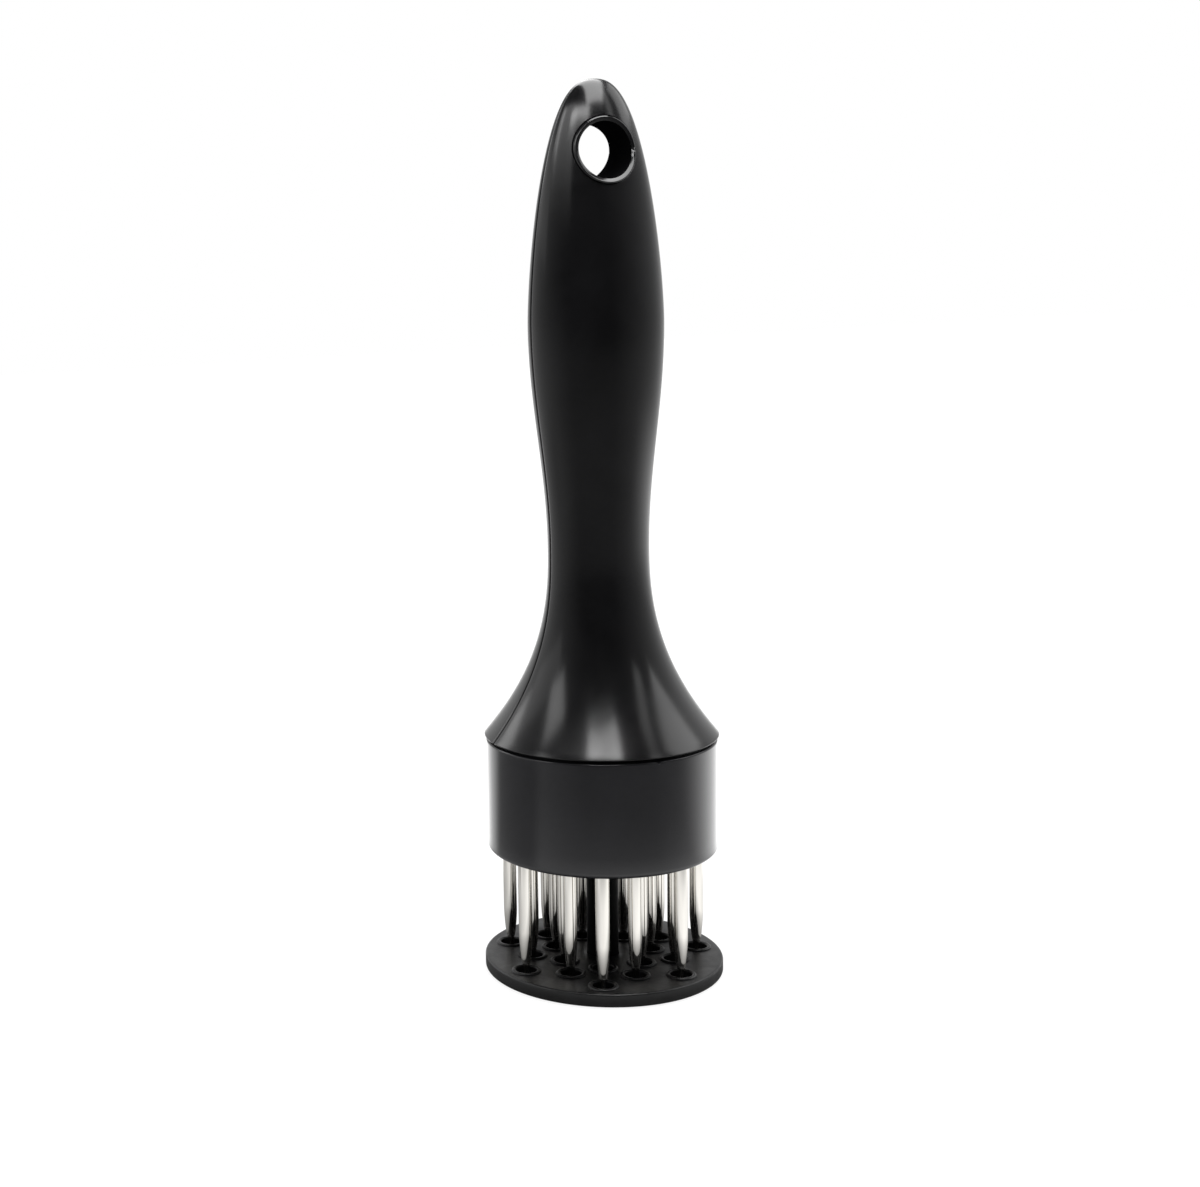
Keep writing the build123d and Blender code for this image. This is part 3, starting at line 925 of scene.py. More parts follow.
@dataclass(frozen=True)
class NeedleField:
    """Three staggered rings of headed, tapered needles."""

    centres: dict[str, Point]
    tip_level: float
    floor_level: float
    head_level: float
    head_radius: float
    radius: float = 1.5
    taper: float = 11.5
    point: float = 5.3
    point_radius: float = 1.12
    tip_radius: float = 0.12
    head_height: float = 1.2
    head_edge: float = 0.15
    cone_points: int = 13
    swell_points: int = 17
    shank_points: int = 9
    segments: int = 40

    @classmethod
    def from_frame(cls) -> "NeedleField":
        """Reads the places and the ends of the needles from their solids.

        Returns:
            The field of needles.
        """
        nodes = [f"needle_{ring}_{number + 1}" for ring in RING_NAMES for number in range(NEEDLES_PER_RING)]
        boxes = {node: node_box(node) for node in nodes}
        centres = {node: tuple(((low + high) / 2)[:2]) for node, (low, high) in boxes.items()}
        low, high = boxes[nodes[-1]]
        return cls(centres, low[2], high[2] - cls.head_height, high[2], (high[0] - low[0]) / 2)

    def profile(self) -> Array:
        """Outline of a needle from the point to the head.

        The point is a straight cone from the tiny flat tip. Above it the needle swells to the shank by a
        quarter of a sine wave.

        Returns:
            Radius and level of each point.
        """
        cone_way = np.linspace(0, 1, self.cone_points) ** 0.5
        cone = np.stack([
            self.tip_radius + (self.point_radius - self.tip_radius) * cone_way,
            self.tip_level + self.point * cone_way,
        ], axis=-1)
        swell_way = np.linspace(0, 1, self.swell_points)[1:]
        swell = np.stack([
            self.point_radius + (self.radius - self.point_radius) * np.sin(np.pi / 2 * swell_way),
            self.tip_level + self.point + (self.taper - self.point) * swell_way,
        ], axis=-1)
        return joined(
            [(0.0, self.tip_level)], cone, swell,
            upright(self.radius, swell[-1, 1], self.floor_level, self.shank_points)[1:],
            [(self.head_radius, self.floor_level)],
            Corner.UPPER_EDGE.rounded(self.head_radius, self.head_level, self.head_edge),
            [(0.0, self.head_level)],
        )

    def build(self, finishes: Finishes) -> None:
        """Turns each needle about its own axis.

        Args:
            finishes: Materials of the tool.
        """
        profile = self.profile()
        for node, centre in self.centres.items():
            needle = Patchwork()
            needle.add_lathe(profile, self.segments, centre)
            fit(needle.build("polished_" + node), node, Body.HANDLE,
                finishes.polished_steel)


@dataclass(frozen=True)
class Drilling:
    """A row of like holes: where they stand, and radius and level from the lower face to the upper one."""

    centres: list[Point]
    profile: Array
    segments: int = 40

    def add_to(self, patches: Patchwork) -> None:
        """Adds the walls of the holes."""
        for centre in self.centres:
            patches.add_lathe(self.profile, self.segments, centre)

    def outlines(self, end: int) -> list[Array]:
        """Outline of each hole in the lower face (end 0) or the upper face (end -1)."""
        return [circle(self.profile[end, 0], self.segments, centre) for centre in self.centres]


def hole_outlines(drillings: list[Drilling], end: int) -> list[Array]:
    """Outlines of all holes in the lower face (end 0) or the upper face (end -1)."""
    return [loop for drilling in drillings for loop in drilling.outlines(end)]


@dataclass(frozen=True)
class ScrewPattern:
    """Places of the screws, which stand midway between the outer and the inner needles."""

    handle: list[Point]
    backing: list[Point]

    @classmethod
    def from_needles(cls, needles: NeedleField) -> "ScrewPattern":
        """Takes the middle between each outer needle and the inner needle in line with it.

        Args:
            needles: Field of needles.

        Returns:
            Places of the handle screws and of the backing plate's screws.
        """
        outer, inner = (
            np.array([needles.centres[f"needle_{ring}_{number + 1}"] for number in range(NEEDLES_PER_RING)])
            for ring in ("outer", "inner")
        )
        places = list(map(tuple, (outer + inner) / 2))
        backing = [place for number, place in enumerate(places) if number not in HANDLE_SCREW_PLACES]
        return cls([places[number] for number in HANDLE_SCREW_PLACES], backing)


@dataclass(frozen=True)
class NeedleCollar:
    """Round cup with a drilled floor, a guide tube and a small locating notch in its upper edge."""

    needles: NeedleField
    screws: ScrewPattern
    radius: float
    bottom: float
    top: float
    wall: float = 2.0
    floor: float = 6.0
    lower_round: float = 1.2
    lower_steps: int = 10
    upper_round: float = 0.4
    upper_steps: int = 6
    side_points: int = 8
    flat_margin: float = 0.4
    edge_row: float = 0.6
    guide_bore: float = 3.6
    guide_wall: float = 1.0
    guide_height: float = 10.0
    guide_segments: int = 64
    needle_gap: float = 0.04
    hole_round: float = 0.2
    head_sink_radius: float = 2.9
    head_seat: float = 3.0
    pass_radius: float = 1.7
    pilot_radius: float = 1.53
    pilot_depth: float = 4.6
    notch_angle: float = 3.0
    notch_half_width: float = 0.55
    notch_depth: float = 0.55
    notch_reach: float = 1.2
    segments: int = 256

    @property
    def bore(self) -> float:
        """Radius of the cup's inside."""
        return self.radius - self.wall

    @property
    def floor_top(self) -> float:
        """Level of the floor's upper face."""
        return self.bottom + self.floor

    @property
    def flat_radius(self) -> float:
        """Radius of the level part of the underside."""
        return self.radius - self.lower_round - self.flat_margin

    def drillings(self) -> list[Drilling]:
        """Holes that go through the floor.

        Returns:
            Needle holes, screw holes and the post's guide, from the underside to the floor.
        """
        seat = self.bottom + self.head_seat
        guide_top = self.floor_top + self.guide_height
        guide_outside = self.guide_bore + self.guide_wall
        needle = self.needles.radius + self.needle_gap
        needle_mouth, screw_mouth, guide_mouth = (
            Corner.LOWER_HOLE.rounded(radius, self.bottom, self.hole_round)
            for radius in (needle, self.head_sink_radius, self.guide_bore)
        )
        needle_hole = joined(needle_mouth, [(needle, self.floor_top)])
        screw_hole = joined(
            screw_mouth, [(self.head_sink_radius, seat)],
            [(self.pass_radius, seat), (self.pass_radius, self.floor_top)],
        )
        guide_hole = joined(
            guide_mouth, [(self.guide_bore, guide_top)],
            [(guide_outside, guide_top), (guide_outside, self.floor_top)],
        )
        return [
            Drilling(list(self.needles.centres.values()), needle_hole),
            Drilling(self.screws.handle, screw_hole),
            Drilling([AXIS], guide_hole, self.guide_segments),
        ]

    def cup(self) -> Array:
        """Cup's outside, rim and inside, with the notch pressed into the rim.

        The notch lowers the upper edge by a bell curve of the distance from its middle.

        Returns:
            Grid of points.
        """
        low = Corner.LOWER_EDGE.rounded(self.radius, self.bottom, self.lower_round, self.lower_steps)
        high = Corner.UPPER_EDGE.rounded(self.radius, self.top, self.upper_round, self.upper_steps)
        profile = joined(
            [(low[0, 0] - self.flat_margin, self.bottom)], low,
            upright(self.radius, low[-1, 1], high[0, 1], self.side_points)[1:-1],
            [(self.radius, high[0, 1] - self.edge_row)], high,
            [(self.bore, self.top), (self.bore, self.floor_top)],
        )
        grid = lathe(profile, self.segments)
        x, y, z = np.moveaxis(grid, -1, 0)
        along = (np.arctan2(x, -y) - math.radians(self.notch_angle)) * self.radius
        upper = share(z, self.top - self.notch_reach, self.top)
        outward = share(np.hypot(x, y), self.bore, self.radius)
        grid[..., 2] -= self.notch_depth * np.exp(-((along / self.notch_half_width) ** 2)) * upper * outward
        return grid

    def build(self, finishes: Finishes) -> None:
        """Joins the cup, the drilled floor and the guide tube.

        Args:
            finishes: Materials of the tool.
        """
        pilot_bottom = self.floor_top - self.pilot_depth
        pilot = [(0.0, pilot_bottom), (self.pilot_radius, pilot_bottom), (self.pilot_radius, self.floor_top)]
        through = self.drillings()
        drillings = [*through, Drilling(self.screws.backing, joined(pilot))]
        collar = Patchwork()
        collar.add_grid(self.cup(), wrap_columns=True)
        for drilling in drillings:
            drilling.add_to(collar)
        collar.add_flat(self.bottom, circle(self.flat_radius, self.segments), hole_outlines(through, 0))
        collar.add_flat(self.floor_top, circle(self.bore, self.segments), hole_outlines(drillings, -1))
        fit(collar.build("satin_needle_collar"), "needle_collar", Body.HANDLE,
            finishes.satin_black)


@dataclass(frozen=True)
class GuardPlate:
    """Round plate with a raised rim round each needle hole, and a countersunk hole for its screw."""

    needles: NeedleField
    radius: float
    rim_top: float
    rim_height: float = 0.4
    edge_round: float = 0.5
    edge_steps: int = 6
    flat_margin: float = 0.4
    hole_gap: float = 0.8
    rim_width: float = 1.0
    rim_steps: int = 12
    mouth_round: float = 0.18
    socket_radius: float = 3.55
    socket_depth: float = 0.8
    socket_round: float = 0.15
    pass_radius: float = 1.7
    sink_radius: float = 2.9
    sink_depth: float = 1.4
    socket_segments: int = 48
    segments: int = 256

    @property
    def top(self) -> float:
        """Level of the plate's upper face."""
        return self.rim_top - self.rim_height

    def rimmed_hole(self) -> Array:
        """Outline of a needle hole from the underside, up the hole and over its half-elliptic rim.

        Returns:
            Radius and level of each point.
        """
        hole = self.needles.radius + self.hole_gap
        half = self.rim_width / 2
        rim = arc(AXIS, 1.0, 180, 0, self.rim_steps) * (half, self.rim_height) + (hole + half, self.top)
        return joined(Corner.LOWER_HOLE.rounded(hole, 0.0, self.mouth_round), rim)

    def screw_hole(self) -> Array:
        """Outline of the countersunk hole and of the socket for the post.

        Returns:
            Radius and level of each point.
        """
        socket = self.top - self.socket_depth
        return joined(
            [(self.sink_radius, 0.0), (self.pass_radius, self.sink_depth), (self.pass_radius, socket)],
            [(self.socket_radius, socket)],
            Corner.UPPER_HOLE.rounded(self.socket_radius, self.top, self.socket_round),
        )

    def build(self, finishes: Finishes) -> None:
        """Joins the edge, the holes and the two flat faces.

        Args:
            finishes: Materials of the tool.
        """
        inner = self.radius - self.edge_round - self.flat_margin
        edge = joined(
            [(inner, 0.0)],
            Corner.LOWER_EDGE.rounded(self.radius, 0.0, self.edge_round, self.edge_steps),
            Corner.UPPER_EDGE.rounded(self.radius, self.top, self.edge_round, self.edge_steps),
            [(inner, self.top)],
        )
        drillings = [
            Drilling(list(self.needles.centres.values()), self.rimmed_hole()),
            Drilling([AXIS], self.screw_hole(), self.socket_segments),
        ]
        plate = Patchwork()
        plate.add_lathe(edge, self.segments)
        for drilling in drillings:
            drilling.add_to(plate)
        for level, end in ((0.0, 0), (self.top, -1)):
            plate.add_flat(level, circle(inner, self.segments), hole_outlines(drillings, end))
        fit(plate.build("matte_guard_plate"), "guard_plate", Body.PLUNGER,
            finishes.matte_black)


@dataclass(frozen=True)
class PlungerPost:
    """Dark centre column, with the flange that stops it and the spigot that holds the spring."""

    bottom: float
    top: float
    flange_radius: float
    flange_bottom: float
    spigot_radius: float
    radius: float = 3.5
    flange_thickness: float = 2.0
    pilot_radius: float = 1.53
    pilot_top: float = 12.8
    edge: float = 0.25
    shank_points: int = 14
    segments: int = 96

    def build(self, finishes: Finishes) -> None:
        """Turns the column, hollow where its screw goes in.

        Args:
            finishes: Materials of the tool.
        """
        flange_top = self.flange_bottom + self.flange_thickness
        profile = joined(
            [(0.0, self.pilot_top), (self.pilot_radius, self.pilot_top), (self.pilot_radius, self.bottom)],
            upright(self.radius, self.bottom, self.flange_bottom, self.shank_points),
            Corner.LOWER_EDGE.rounded(self.flange_radius, self.flange_bottom, self.edge),
            Corner.UPPER_EDGE.rounded(self.flange_radius, flange_top, self.edge),
            [(self.spigot_radius, flange_top)],
            Corner.UPPER_EDGE.rounded(self.spigot_radius, self.top, self.edge),
            [(0.0, self.top)],
        )
        post = Patchwork()
        post.add_lathe(profile, self.segments)
        fit(post.build("dark_plunger_post"), "plunger_post", Body.PLUNGER,
            finishes.dark_post)


@dataclass(frozen=True)
class Screws:
    """Screws with a cross recess: pan heads under the collar and a countersunk head under the plate."""

    pattern: ScrewPattern
    handle_low: float
    handle_high: float
    plate_high: float
    shank_radius: float = 1.5
    shank_point: float = 0.6
    head_radius: float = 2.7
    head_height: float = 2.0
    head_round: float = 0.35
    head_steps: int = 4
    sink_height: float = 1.4
    recess_depth: float = 1.1
    recess_reach: float = 1.55
    recess_width: float = 0.42
    recess_flank: float = 0.2
    recess_end: float = 0.5
    dome: float = 0.25
    face_rings: int = 40
    segments: int = 96

    def face(self, level: float, centre: Point, rim: float, dome: float) -> Array:
        """Underside of a head, as rings of points from the rim to the middle.

        The face bulges down as a parabola, and the recess rises where a point lies within the arms of a
        cross. The recess fades by a smooth step over its flanks and ends.

        Args:
            level: Height of the rim.
            centre: Place of the screw.
            rim: Radius of the rim.
            dome: How far the face bulges.

        Returns:
            Grid of points.
        """
        radius = np.linspace(rim, 0, self.face_rings)[:, None]
        turn = turn_angles(self.segments)
        x = radius * np.cos(turn)
        y = radius * np.sin(turn)
        narrow, long = np.sort(np.abs(np.stack([x, y])), axis=0)
        flank = share(narrow, self.recess_width, self.recess_width - self.recess_flank)
        end = share(long, self.recess_reach, self.recess_reach - self.recess_end)
        z = level - dome * (1 - (radius / rim) ** 2) + self.recess_depth * eased(flank * end)
        return np.stack([centre[0] + x, centre[1] + y, z], axis=-1)

    def add_screw(self, patches: Patchwork, centre: Point, head: Array, shank_top: float,
                  dome: float) -> None:
        """Adds one screw that points up.

        Args:
            patches: Where it goes.
            centre: Its place.
            head: Radius and level of the head's flank, from the rim of its face upwards.
            shank_top: Level of the screw's end.
            dome: How far the face bulges.
        """
        rim, level = head[0]
        patches.add_grid(self.face(level, centre, rim, dome), wrap_columns=True)
        tip = self.shank_radius - self.shank_point
        end = [(self.shank_radius, shank_top - self.shank_point), (tip, shank_top), (0.0, shank_top)]
        patches.add_lathe(joined(head, end), self.segments, centre)

    def build(self, finishes: Finishes) -> None:
        """Makes the four handle screws as one piece, and the plate screw.

        Args:
            finishes: Materials of the tool.
        """
        seat = self.handle_low + self.head_height
        pan = joined(
            Corner.LOWER_EDGE.rounded(self.head_radius, self.handle_low + self.dome, self.head_round,
                                      self.head_steps),
            [(self.head_radius, seat), (self.shank_radius, seat)],
        )
        handle_screws = Patchwork()
        for centre in self.pattern.handle:
            self.add_screw(handle_screws, centre, pan, self.handle_high, self.dome)
        fit(handle_screws.build("cross_handle_screws"), "handle_screws", Body.HANDLE,
            finishes.plain_steel)
        countersunk = joined([(self.head_radius, 0.0), (self.shank_radius, self.sink_height)])
        plate_screw = Patchwork()
        self.add_screw(plate_screw, AXIS, countersunk, self.plate_high, 0.0)
        fit(plate_screw.build("cross_plate_screw"), "plate_screw", Body.PLUNGER,
            finishes.plain_steel)


@dataclass(frozen=True)
class ReturnSpring:
    """Coil spring with closer end turns and ground ends, built at one length though the plunger shortens it."""

    bottom: float
    top: float
    outer_radius: float
    stroke: float
    wire: float = 0.9
    active_turns: int = 13
    end_pitch: float = 1.4
    end_sink: float = 0.2
    bore_gap: float = 0.4
    steps_per_turn: int = 40
    wire_steps: int = 14

    def centre_line(self) -> Array:
        """Helix whose height climbs slowly over the first and last turn and evenly between them.

        Returns:
            Points along the middle of the wire.
        """
        low = self.bottom + self.wire / 2 - self.end_sink
        high = self.top - self.wire / 2 + self.end_sink
        all_turns = self.active_turns + 2
        turns = np.linspace(0, all_turns, all_turns * self.steps_per_turn + 1)
        knots = [0, 1, all_turns - 1, all_turns]
        level = np.interp(turns, knots, [low, low + self.end_pitch, high - self.end_pitch, high])
        radius = self.outer_radius - self.wire / 2
        angle = 2 * np.pi * turns
        return np.stack([radius * np.cos(angle), radius * np.sin(angle), level], axis=-1)

    def build(self, finishes: Finishes) -> None:
        """Carries a circle along the helix, grinds both ends flat and gives the piece a mesh of its own.

        Args:
            finishes: Materials of the tool.
        """
        line = self.centre_line()
        along = np.gradient(line, axis=0)
        along /= np.linalg.norm(along, axis=1, keepdims=True)
        out = line * (1, 1, 0)
        out /= np.linalg.norm(out, axis=1, keepdims=True)
        across = np.cross(along, out)
        turn = turn_angles(self.wire_steps)[None, :, None]
        tube = line[:, None] + (np.cos(turn) * out[:, None] + np.sin(turn) * across[:, None]) * self.wire / 2
        ends = [np.broadcast_to(line[i], tube[:1].shape) for i in (0, -1)]
        tube = np.concatenate([ends[0], tube, ends[1]])
        tube[..., 2] = np.clip(tube[..., 2], self.bottom, self.top)
        spring = Patchwork()
        spring.add_grid(tube, wrap_columns=True)
        piece = fit(spring.build("coiled_return_spring"), "return_spring", Body.HANDLE,
                    finishes.spring_steel)
        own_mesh(piece)


@dataclass(frozen=True)
class StudioCamera:
    """Camera at the photograph's view, from its place round the tool axis and its aim."""

    azimuth: float = -25.7
    distance: float = 0.42
    height: float = 0.1577
    pitch: float = 9.46
    roll: float = -2.58
    focal_pixels: float = 1903.0
    image_width: float = 1200.0
    centre_pixels: float = 212.0
    axis_offset_pixels: float = 392.5
    sensor_width: float = 36.0

    def heading(self) -> Vector:
        """Level direction from the camera to the tool axis."""
        turn = math.radians(self.azimuth)
        return Vector((-math.sin(turn), math.cos(turn), 0.0))

    def right(self) -> Vector:
        """Level direction to the right as seen from the camera."""
        return self.heading().cross(UP)

    def build(self) -> None:
        """Makes the camera, turned and shifted so that the tool axis stands at its place in the picture."""
        yaw = math.atan(self.axis_offset_pixels / self.focal_pixels)
        level = Matrix.Rotation(yaw, 3, "Z") @ self.heading()
        tilt = math.radians(self.pitch)
        forward = level * math.cos(tilt) - Vector((0, 0, math.sin(tilt)))
        right = level.cross(UP)
        up = right.cross(forward)
        lean = math.radians(self.roll)
        leaned_right = right * math.cos(lean) + up * math.sin(lean)
        leaned_up = up * math.cos(lean) - right * math.sin(lean)
        data = bpy.data.cameras.new("studio_camera")
        data.sensor_width = self.sensor_width
        data.lens = self.sensor_width * self.focal_pixels / self.image_width
        data.shift_x = 0.5 - self.centre_pixels / self.image_width
        camera = bpy.data.objects.new("studio_camera", data)
        place = -self.heading() * self.distance + Vector((0, 0, self.height))
        turn = Matrix((leaned_right, leaned_up, -forward)).transposed()
        camera.matrix_world = Matrix.Translation(place) @ turn.to_4x4()
        bpy.context.scene.collection.objects.link(camera)
        bpy.context.scene.camera = camera


@dataclass(frozen=True)
class SoftLight:
    """A soft box: its place and aim as metres to the right, behind and above, its size and its brightness.

    It can be spun on its own axis. More than one strip side by side lets it fade across its width.
    """

    name: str
    place: Triple
    aim: Triple
    width: float
    tall: float
    radiance: float
    spin: float = 0.0
    strips: int = 1
    level_tolerance: float = 1e-6

    def build(self, camera: StudioCamera) -> None:
        """Places its strips by the camera's right and heading, with the width level before the spin.

        The brightness of the strips falls to their last side by half a cosine wave.

        Args:
            camera: Camera that the place and the aim are counted from.
        """
        axes = Matrix((camera.right(), camera.heading(), UP)).transposed()
        place = axes @ Vector(self.place)
        forward = axes @ Vector(self.aim) - place
        across = camera.heading() if forward.xy.length < self.level_tolerance else UP
        right = forward.cross(across).normalized()
        up = right.cross(forward).normalized()
        turn = Matrix((right, up, -forward.normalized())).transposed()
        turn = turn @ Matrix.Rotation(math.radians(self.spin), 3, "Z")
        for strip in range(self.strips):
            way = (strip + 0.5) / self.strips
            fade = (1 + math.cos(math.pi * way)) / 2 if self.strips > 1 else 1.0
            data = bpy.data.lights.new(self.name, "AREA")
            data.shape = "RECTANGLE"
            data.size = self.width / self.strips
            data.size_y = self.tall
            data.energy = self.radiance * fade * math.pi * data.size * data.size_y
            lamp = bpy.data.objects.new(self.name, data)
            aside = turn.col[0] * self.width * (way - 0.5)
            lamp.matrix_world = Matrix.Translation(place + aside) @ turn.to_4x4()
            bpy.context.scene.collection.objects.link(lamp)


SOFT_LIGHTS = (
    SoftLight("crown_box", (-0.008, 0.058, 0.29), (-0.008, 0.058, 0.0), 0.085, 0.36, 7.0, 32.0),
    SoftLight("flare_box", (0.0135, -0.1375, 0.29), (0.0135, -0.1375, 0.0), 0.12, 0.035, 9.0),
    SoftLight("left_box", (-0.82, -0.37, 0.79), (0.0, 0.0, 0.06), 0.37, 0.36, 2.8),
    SoftLight("left_rim", (-0.78, 0.45, 0.54), (0.0, 0.0, 0.06), 0.22, 0.34, 2.6),
    SoftLight("right_strip", (0.85, -0.31, 0.87), (0.0, 0.0, 0.06), 0.18, 0.45, 1.4),
    SoftLight("right_panel", (0.83, 0.34, 0.76), (0.0, 0.0, 0.06), 0.75, 0.5, 2.1),
    SoftLight("crown_panel", (-0.0574, -0.0852, 0.2302), (-0.006, -0.006, 0.18), 0.09, 0.11, 2.5, -90.0, 8),
    SoftLight("left_panel", (-0.9, -0.05, 0.46), (0.0, 0.0, 0.16), 0.8, 0.3, 0.45),
)


@dataclass(frozen=True)
class Studio:
    """White studio: a pale floor lit from behind, dim walls, a dark room in front, and soft boxes.

    Spans are first and last values of a direction's lean, or of a distance from the tool axis in metres.
    """

    camera: StudioCamera
    wall_lean: float = -0.3
    wall_span: Point = (-0.9, 0.6)
    wall_level: float = 0.75
    room_level: float = 0.02
    ceiling_span: Point = (0.35, 0.8)
    ceiling_level: float = 0.2
    fill_level: float = 0.5
    floor_size: float = 6.0
    floor_points: int = 9
    floor_level: float = -0.0002
    floor_glow: float = 0.86
    glow_span: Point = (0.1, 0.6)
    near_glow: float = 0.8
    near_span: Point = (0.05, 0.17)
    back_glow: float = 1.4
    back_lean: float = 0.3
    back_span: Point = (0.05, 0.85)
    back_fade: Point = (0.25, 0.9)
    # Painted shadow of the tool on the floor to its left, for reflections only.
    left_shadow_level: float = 0.12
    left_shadow_span: Point = (0.82, 0.93)
    left_shadow_start: Point = (0.05, 0.11)
    left_shadow_end: Point = (0.25, 0.5)
    close_level: float = 0.68
    close_right: float = 0.35
    close_back: float = -0.25
    close_span: Point = (0.07, 0.115)
    contact_level: float = 0.05
    contact_span: Point = (0.03, 0.055)
    shown_grey: float = 0.2
    pale_grey: float = 0.75

    def build(self) -> None:
        """Makes the camera, the lamps, the world and the floor."""
        self.camera.build()
        for light in SOFT_LIGHTS:
            light.build(self.camera)
        self.build_world()
        self.build_floor()
        bpy.context.scene.view_settings.view_transform = "Standard"

    def build_world(self) -> None:
        """White to the camera, walls that brighten towards the back to reflections, even fill to the rest."""
        world = bpy.data.worlds.new("studio_world")
        bpy.context.scene.world = world
        world.use_nodes = True
        sheet = NodeSheet(world.node_tree)
        path = sheet.add("LightPath").outputs
        direction = sheet.add("TexCoord").outputs["Generated"]
        height = sheet.add("SeparateXYZ", {"Vector": direction}).outputs["Z"]
        fade = sheet.ramp(height, self.ceiling_span, 1.0, self.ceiling_level)
        seen = sheet.math("MULTIPLY", self.wall(sheet, direction), fade)
        shiny = sheet.math("MAXIMUM", path["Is Glossy Ray"], path["Is Transmission Ray"])
        lit = sheet.mix(shiny, self.fill_level, seen)
        level = sheet.mix(path["Is Camera Ray"], lit, 1.0)
        sheet.feed(world.node_tree.nodes["Background"], {"Color": WHITE, "Strength": level})

    def wall(self, sheet: NodeSheet, direction: Socket) -> Socket:
        """Brightness of the walls, which rises evenly from the dark room in front to the wall at the back.

        Args:
            sheet: Where the nodes go.
            direction: Direction from the tool, of length one.

        Returns:
            Socket with the brightness.
        """
        facing = sheet.dot(direction, self.camera.heading() + self.camera.right() * self.wall_lean)
        return sheet.ramp(facing, self.wall_span, self.room_level, self.wall_level)

    def sweep(self, sheet: NodeSheet, way: Socket, apart: Socket) -> Socket:
        """Brightness of the floor's white patch by the tool and of the bright sweep behind it.

        Args:
            sheet: Where the nodes go.
            way: Direction from the tool axis.
            apart: Distance from the tool axis.

        Returns:
            Socket with the brightness.
        """
        facing = sheet.dot(way, self.camera.heading() + self.camera.right() * self.back_lean)
        back = sheet.ramp(facing, self.back_span, 0.0, self.back_glow, smooth=True)
        fade = sheet.ramp(apart, self.back_fade, 1.0, 0.0, smooth=True)
        near = sheet.ramp(apart, self.near_span, self.near_glow, 0.0, smooth=True)
        return sheet.math("MAXIMUM", sheet.math("MULTIPLY", back, fade), near)

    def left_shadow(self, sheet: NodeSheet, way: Socket, apart: Socket) -> Socket:
        """Painted shadow of the tool on the floor to its left, seen only in reflections.

        Args:
            sheet: Where the nodes go.
            way: Direction from the tool axis.
            apart: Distance from the tool axis.

        Returns:
            Socket that is 1 on the bare floor and falls to the painted shadow's level within it.
        """
        side = sheet.ramp(sheet.dot(way, -self.camera.right()), self.left_shadow_span, smooth=True)
        start = sheet.ramp(apart, self.left_shadow_start, smooth=True)
        end = sheet.ramp(apart, self.left_shadow_end, 1.0, 0.0, smooth=True)
        cover = sheet.math("MULTIPLY", sheet.math("MULTIPLY", start, end), side)
        return sheet.ramp(cover, (0.0, 1.0), 1.0, self.left_shadow_level)

    def close(self, sheet: NodeSheet, way: Socket, apart: Socket) -> Socket:
        """Floor close to the tool, which the needles mirror.

        Args:
            sheet: Where the nodes go.
            way: Direction from the tool axis.
            apart: Distance from the tool axis.

        Returns:
            Socket that is brightest at the right front and darkens to a contact shade by the plate.
        """
        lean = self.camera.right() * self.close_right + self.camera.heading() * self.close_back
        level = sheet.math("ADD", sheet.dot(way, lean), self.close_level)
        return sheet.math("MULTIPLY", level, sheet.ramp(apart, self.contact_span, self.contact_level, 1.0))

    def build_floor(self) -> None:
        """Pale floor, white to the camera, that keeps the tool's shadow and is clear from below.

        To reflections it has the brightness of the walls far away, a bright sweep behind the tool, a painted
        shadow of the tool to the left, and its own shades close to the tool.
        """
        half = self.floor_size / 2
        side = np.linspace(-half, half, self.floor_points)
        x, y = np.meshgrid(side, side)
        floor = Patchwork()
        floor.add_grid(np.stack([x, y, np.full_like(x, self.floor_level)], axis=-1) / MM)
        piece = floor.build("floor")
        piece.data.flip_normals()
        paint = bpy.data.materials.new("pale_floor")
        paint.use_nodes = True
        paint.node_tree.nodes.clear()
        sheet = NodeSheet(paint.node_tree)
        path = sheet.add("LightPath").outputs
        place = sheet.add("TexCoord").outputs["Object"]
        way = sheet.add("VectorMath", {0: place}, operation="NORMALIZE").outputs["Vector"]
        apart = sheet.length(place)
        bright = sheet.math("ADD", self.sweep(sheet, way, apart), self.wall(sheet, way))
        # Painted shadow of the tool on the floor to its left, for reflections only.
        left_shadowed = sheet.math("MULTIPLY", bright, self.left_shadow(sheet, way, apart))
        reach = sheet.ramp(apart, self.close_span, smooth=True)
        mirrored = sheet.mix(reach, self.close(sheet, way, apart), left_shadowed)
        white = sheet.ramp(apart, self.glow_span, self.floor_glow, 1.0)
        strength = sheet.mix(path["Is Camera Ray"], mirrored, white)
        shiny = sheet.math("MAXIMUM", path["Is Glossy Ray"], path["Is Transmission Ray"])
        shown = sheet.math("MAXIMUM", path["Is Camera Ray"], shiny)
        glow = sheet.add("Emission", {"Color": WHITE, "Strength": strength}).outputs[0]
        thin, pale = (
            sheet.add("BsdfDiffuse", {"Color": (grey, grey, grey, 1.0)}).outputs[0]
            for grey in (self.shown_grey, self.pale_grey)
        )
        lit = sheet.add("AddShader", {0: glow, 1: thin}).outputs[0]
        mixed = sheet.add("MixShader", {0: shown, 1: pale, 2: lit}).outputs[0]
        behind = sheet.add("NewGeometry").outputs["Backfacing"]
        below = sheet.math("MULTIPLY", behind, path["Is Camera Ray"])
        clear = sheet.add("BsdfTransparent").outputs[0]
        shell = sheet.add("MixShader", {0: below, 1: mixed, 2: clear}).outputs[0]
        sheet.add("OutputMaterial", {"Surface": shell})
        piece.data.materials.append(paint)


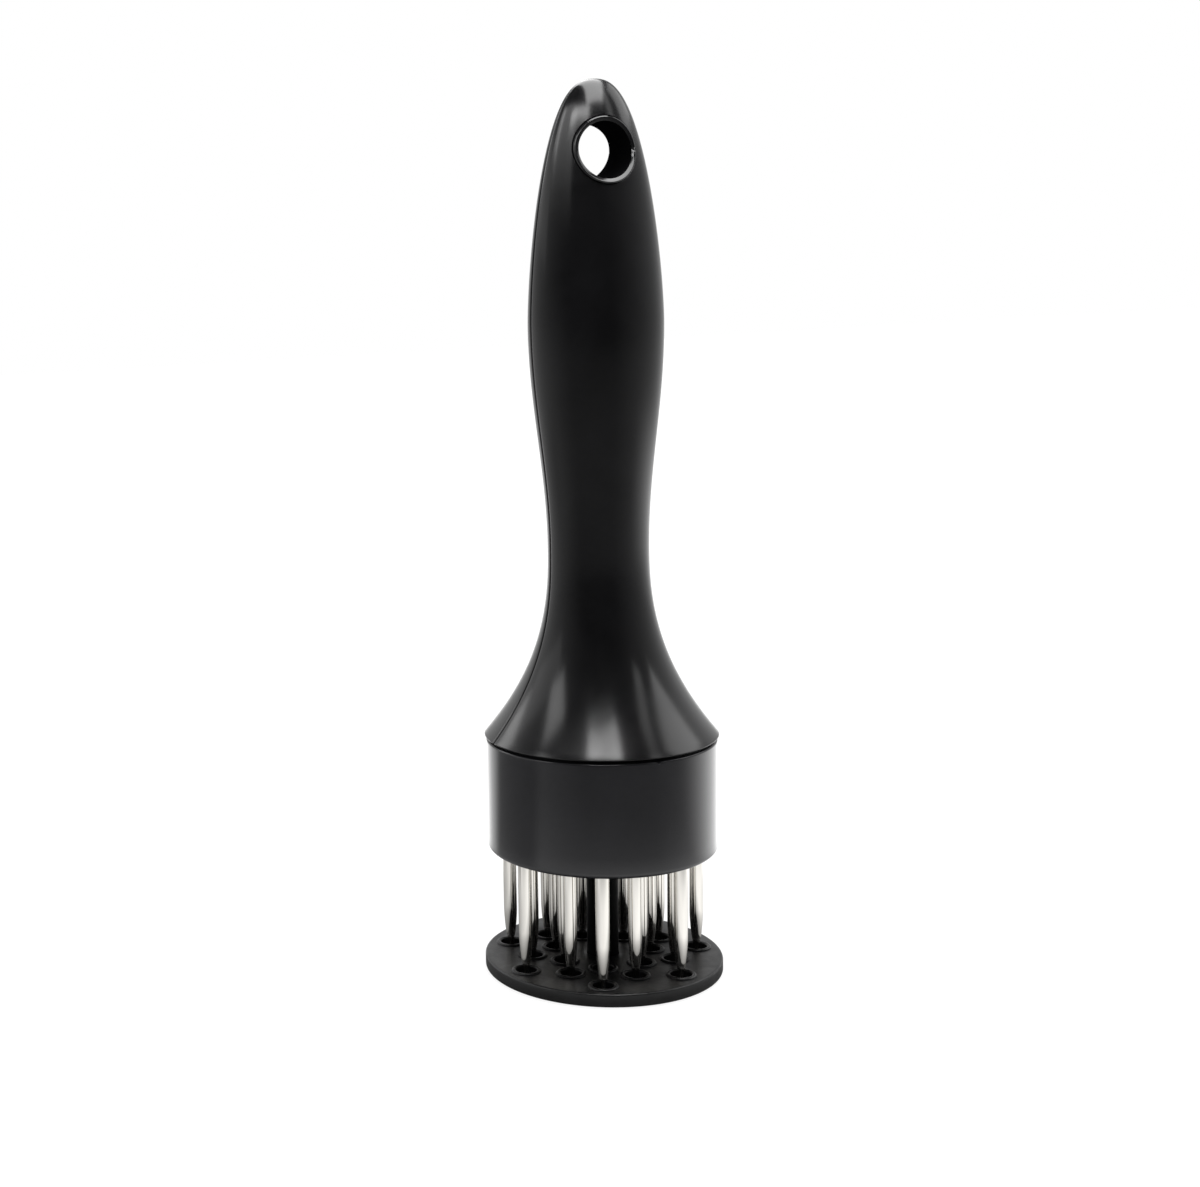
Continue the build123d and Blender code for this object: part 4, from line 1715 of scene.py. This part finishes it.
def dress_hidden_solids(finishes: Finishes) -> None:
    """Gives the solids that stay sealed inside the tool their steel.

    Args:
        finishes: Materials of the tool.
    """
    for node in ("needle_backing_plate", "backing_plate_screws"):
        for slot in frame["nodes"][node].material_slots:
            slot.material = finishes.plain_steel
        LOG.info("%s: solid kept", node)


def main() -> None:
    """Builds the tool piece by piece, then the studio round it."""
    logging.basicConfig(level=logging.INFO, format="%(name)s: %(message)s")
    finishes = Finishes()
    handle_high = node_box("handle_front_shell")[1]
    collar_low, collar_high = node_box("needle_collar")
    sleeve_high = node_box("hang_hole_sleeve")[1]
    plate_high = node_box("guard_plate")[1]
    post_low, post_high = node_box("plunger_post")
    spring_low, spring_high = node_box("return_spring")
    screw_low, screw_high = node_box("handle_screws")
    hole = next(mount for mount in frame["record"]["mounts"] if mount["name"] == "hanging_hole")
    hole_level = hole["pos_m"][2] / MM
    slide = next(joint for joint in frame["joints"] if joint["name"] == "plunger_slide")

    form = HandleForm.standing_on(collar_high[2] + HandleShells.seam_gap, handle_high[0], handle_high[2])
    needles = NeedleField.from_frame()
    screws = ScrewPattern.from_needles(needles)
    collar = NeedleCollar(needles, screws, collar_high[0], collar_low[2], collar_high[2])
    HandleShells(form, hole_level, sleeve_high[0], collar.top, collar.bore).build(finishes)
    HoleSleeve(form, hole_level, hole["dims"]["r_mm"], sleeve_high[0]).build(finishes)
    collar.build(finishes)
    needles.build(finishes)
    GuardPlate(needles, plate_high[0], plate_high[2]).build(finishes)
    flange_bottom = spring_low[2] - PlungerPost.flange_thickness
    spring_bore = spring_high[0] - ReturnSpring.wire - ReturnSpring.bore_gap
    PlungerPost(post_low[2], post_high[2], post_high[0], flange_bottom, spring_bore).build(finishes)
    Screws(screws, screw_low[2], screw_high[2], node_box("plate_screw")[1][2]).build(finishes)
    stroke = slide["range_m"][1] / MM
    ReturnSpring(spring_low[2], spring_high[2], spring_high[0], stroke).build(finishes)
    dress_hidden_solids(finishes)
    Studio(StudioCamera()).build()


if __name__ == "__main__":
    main()
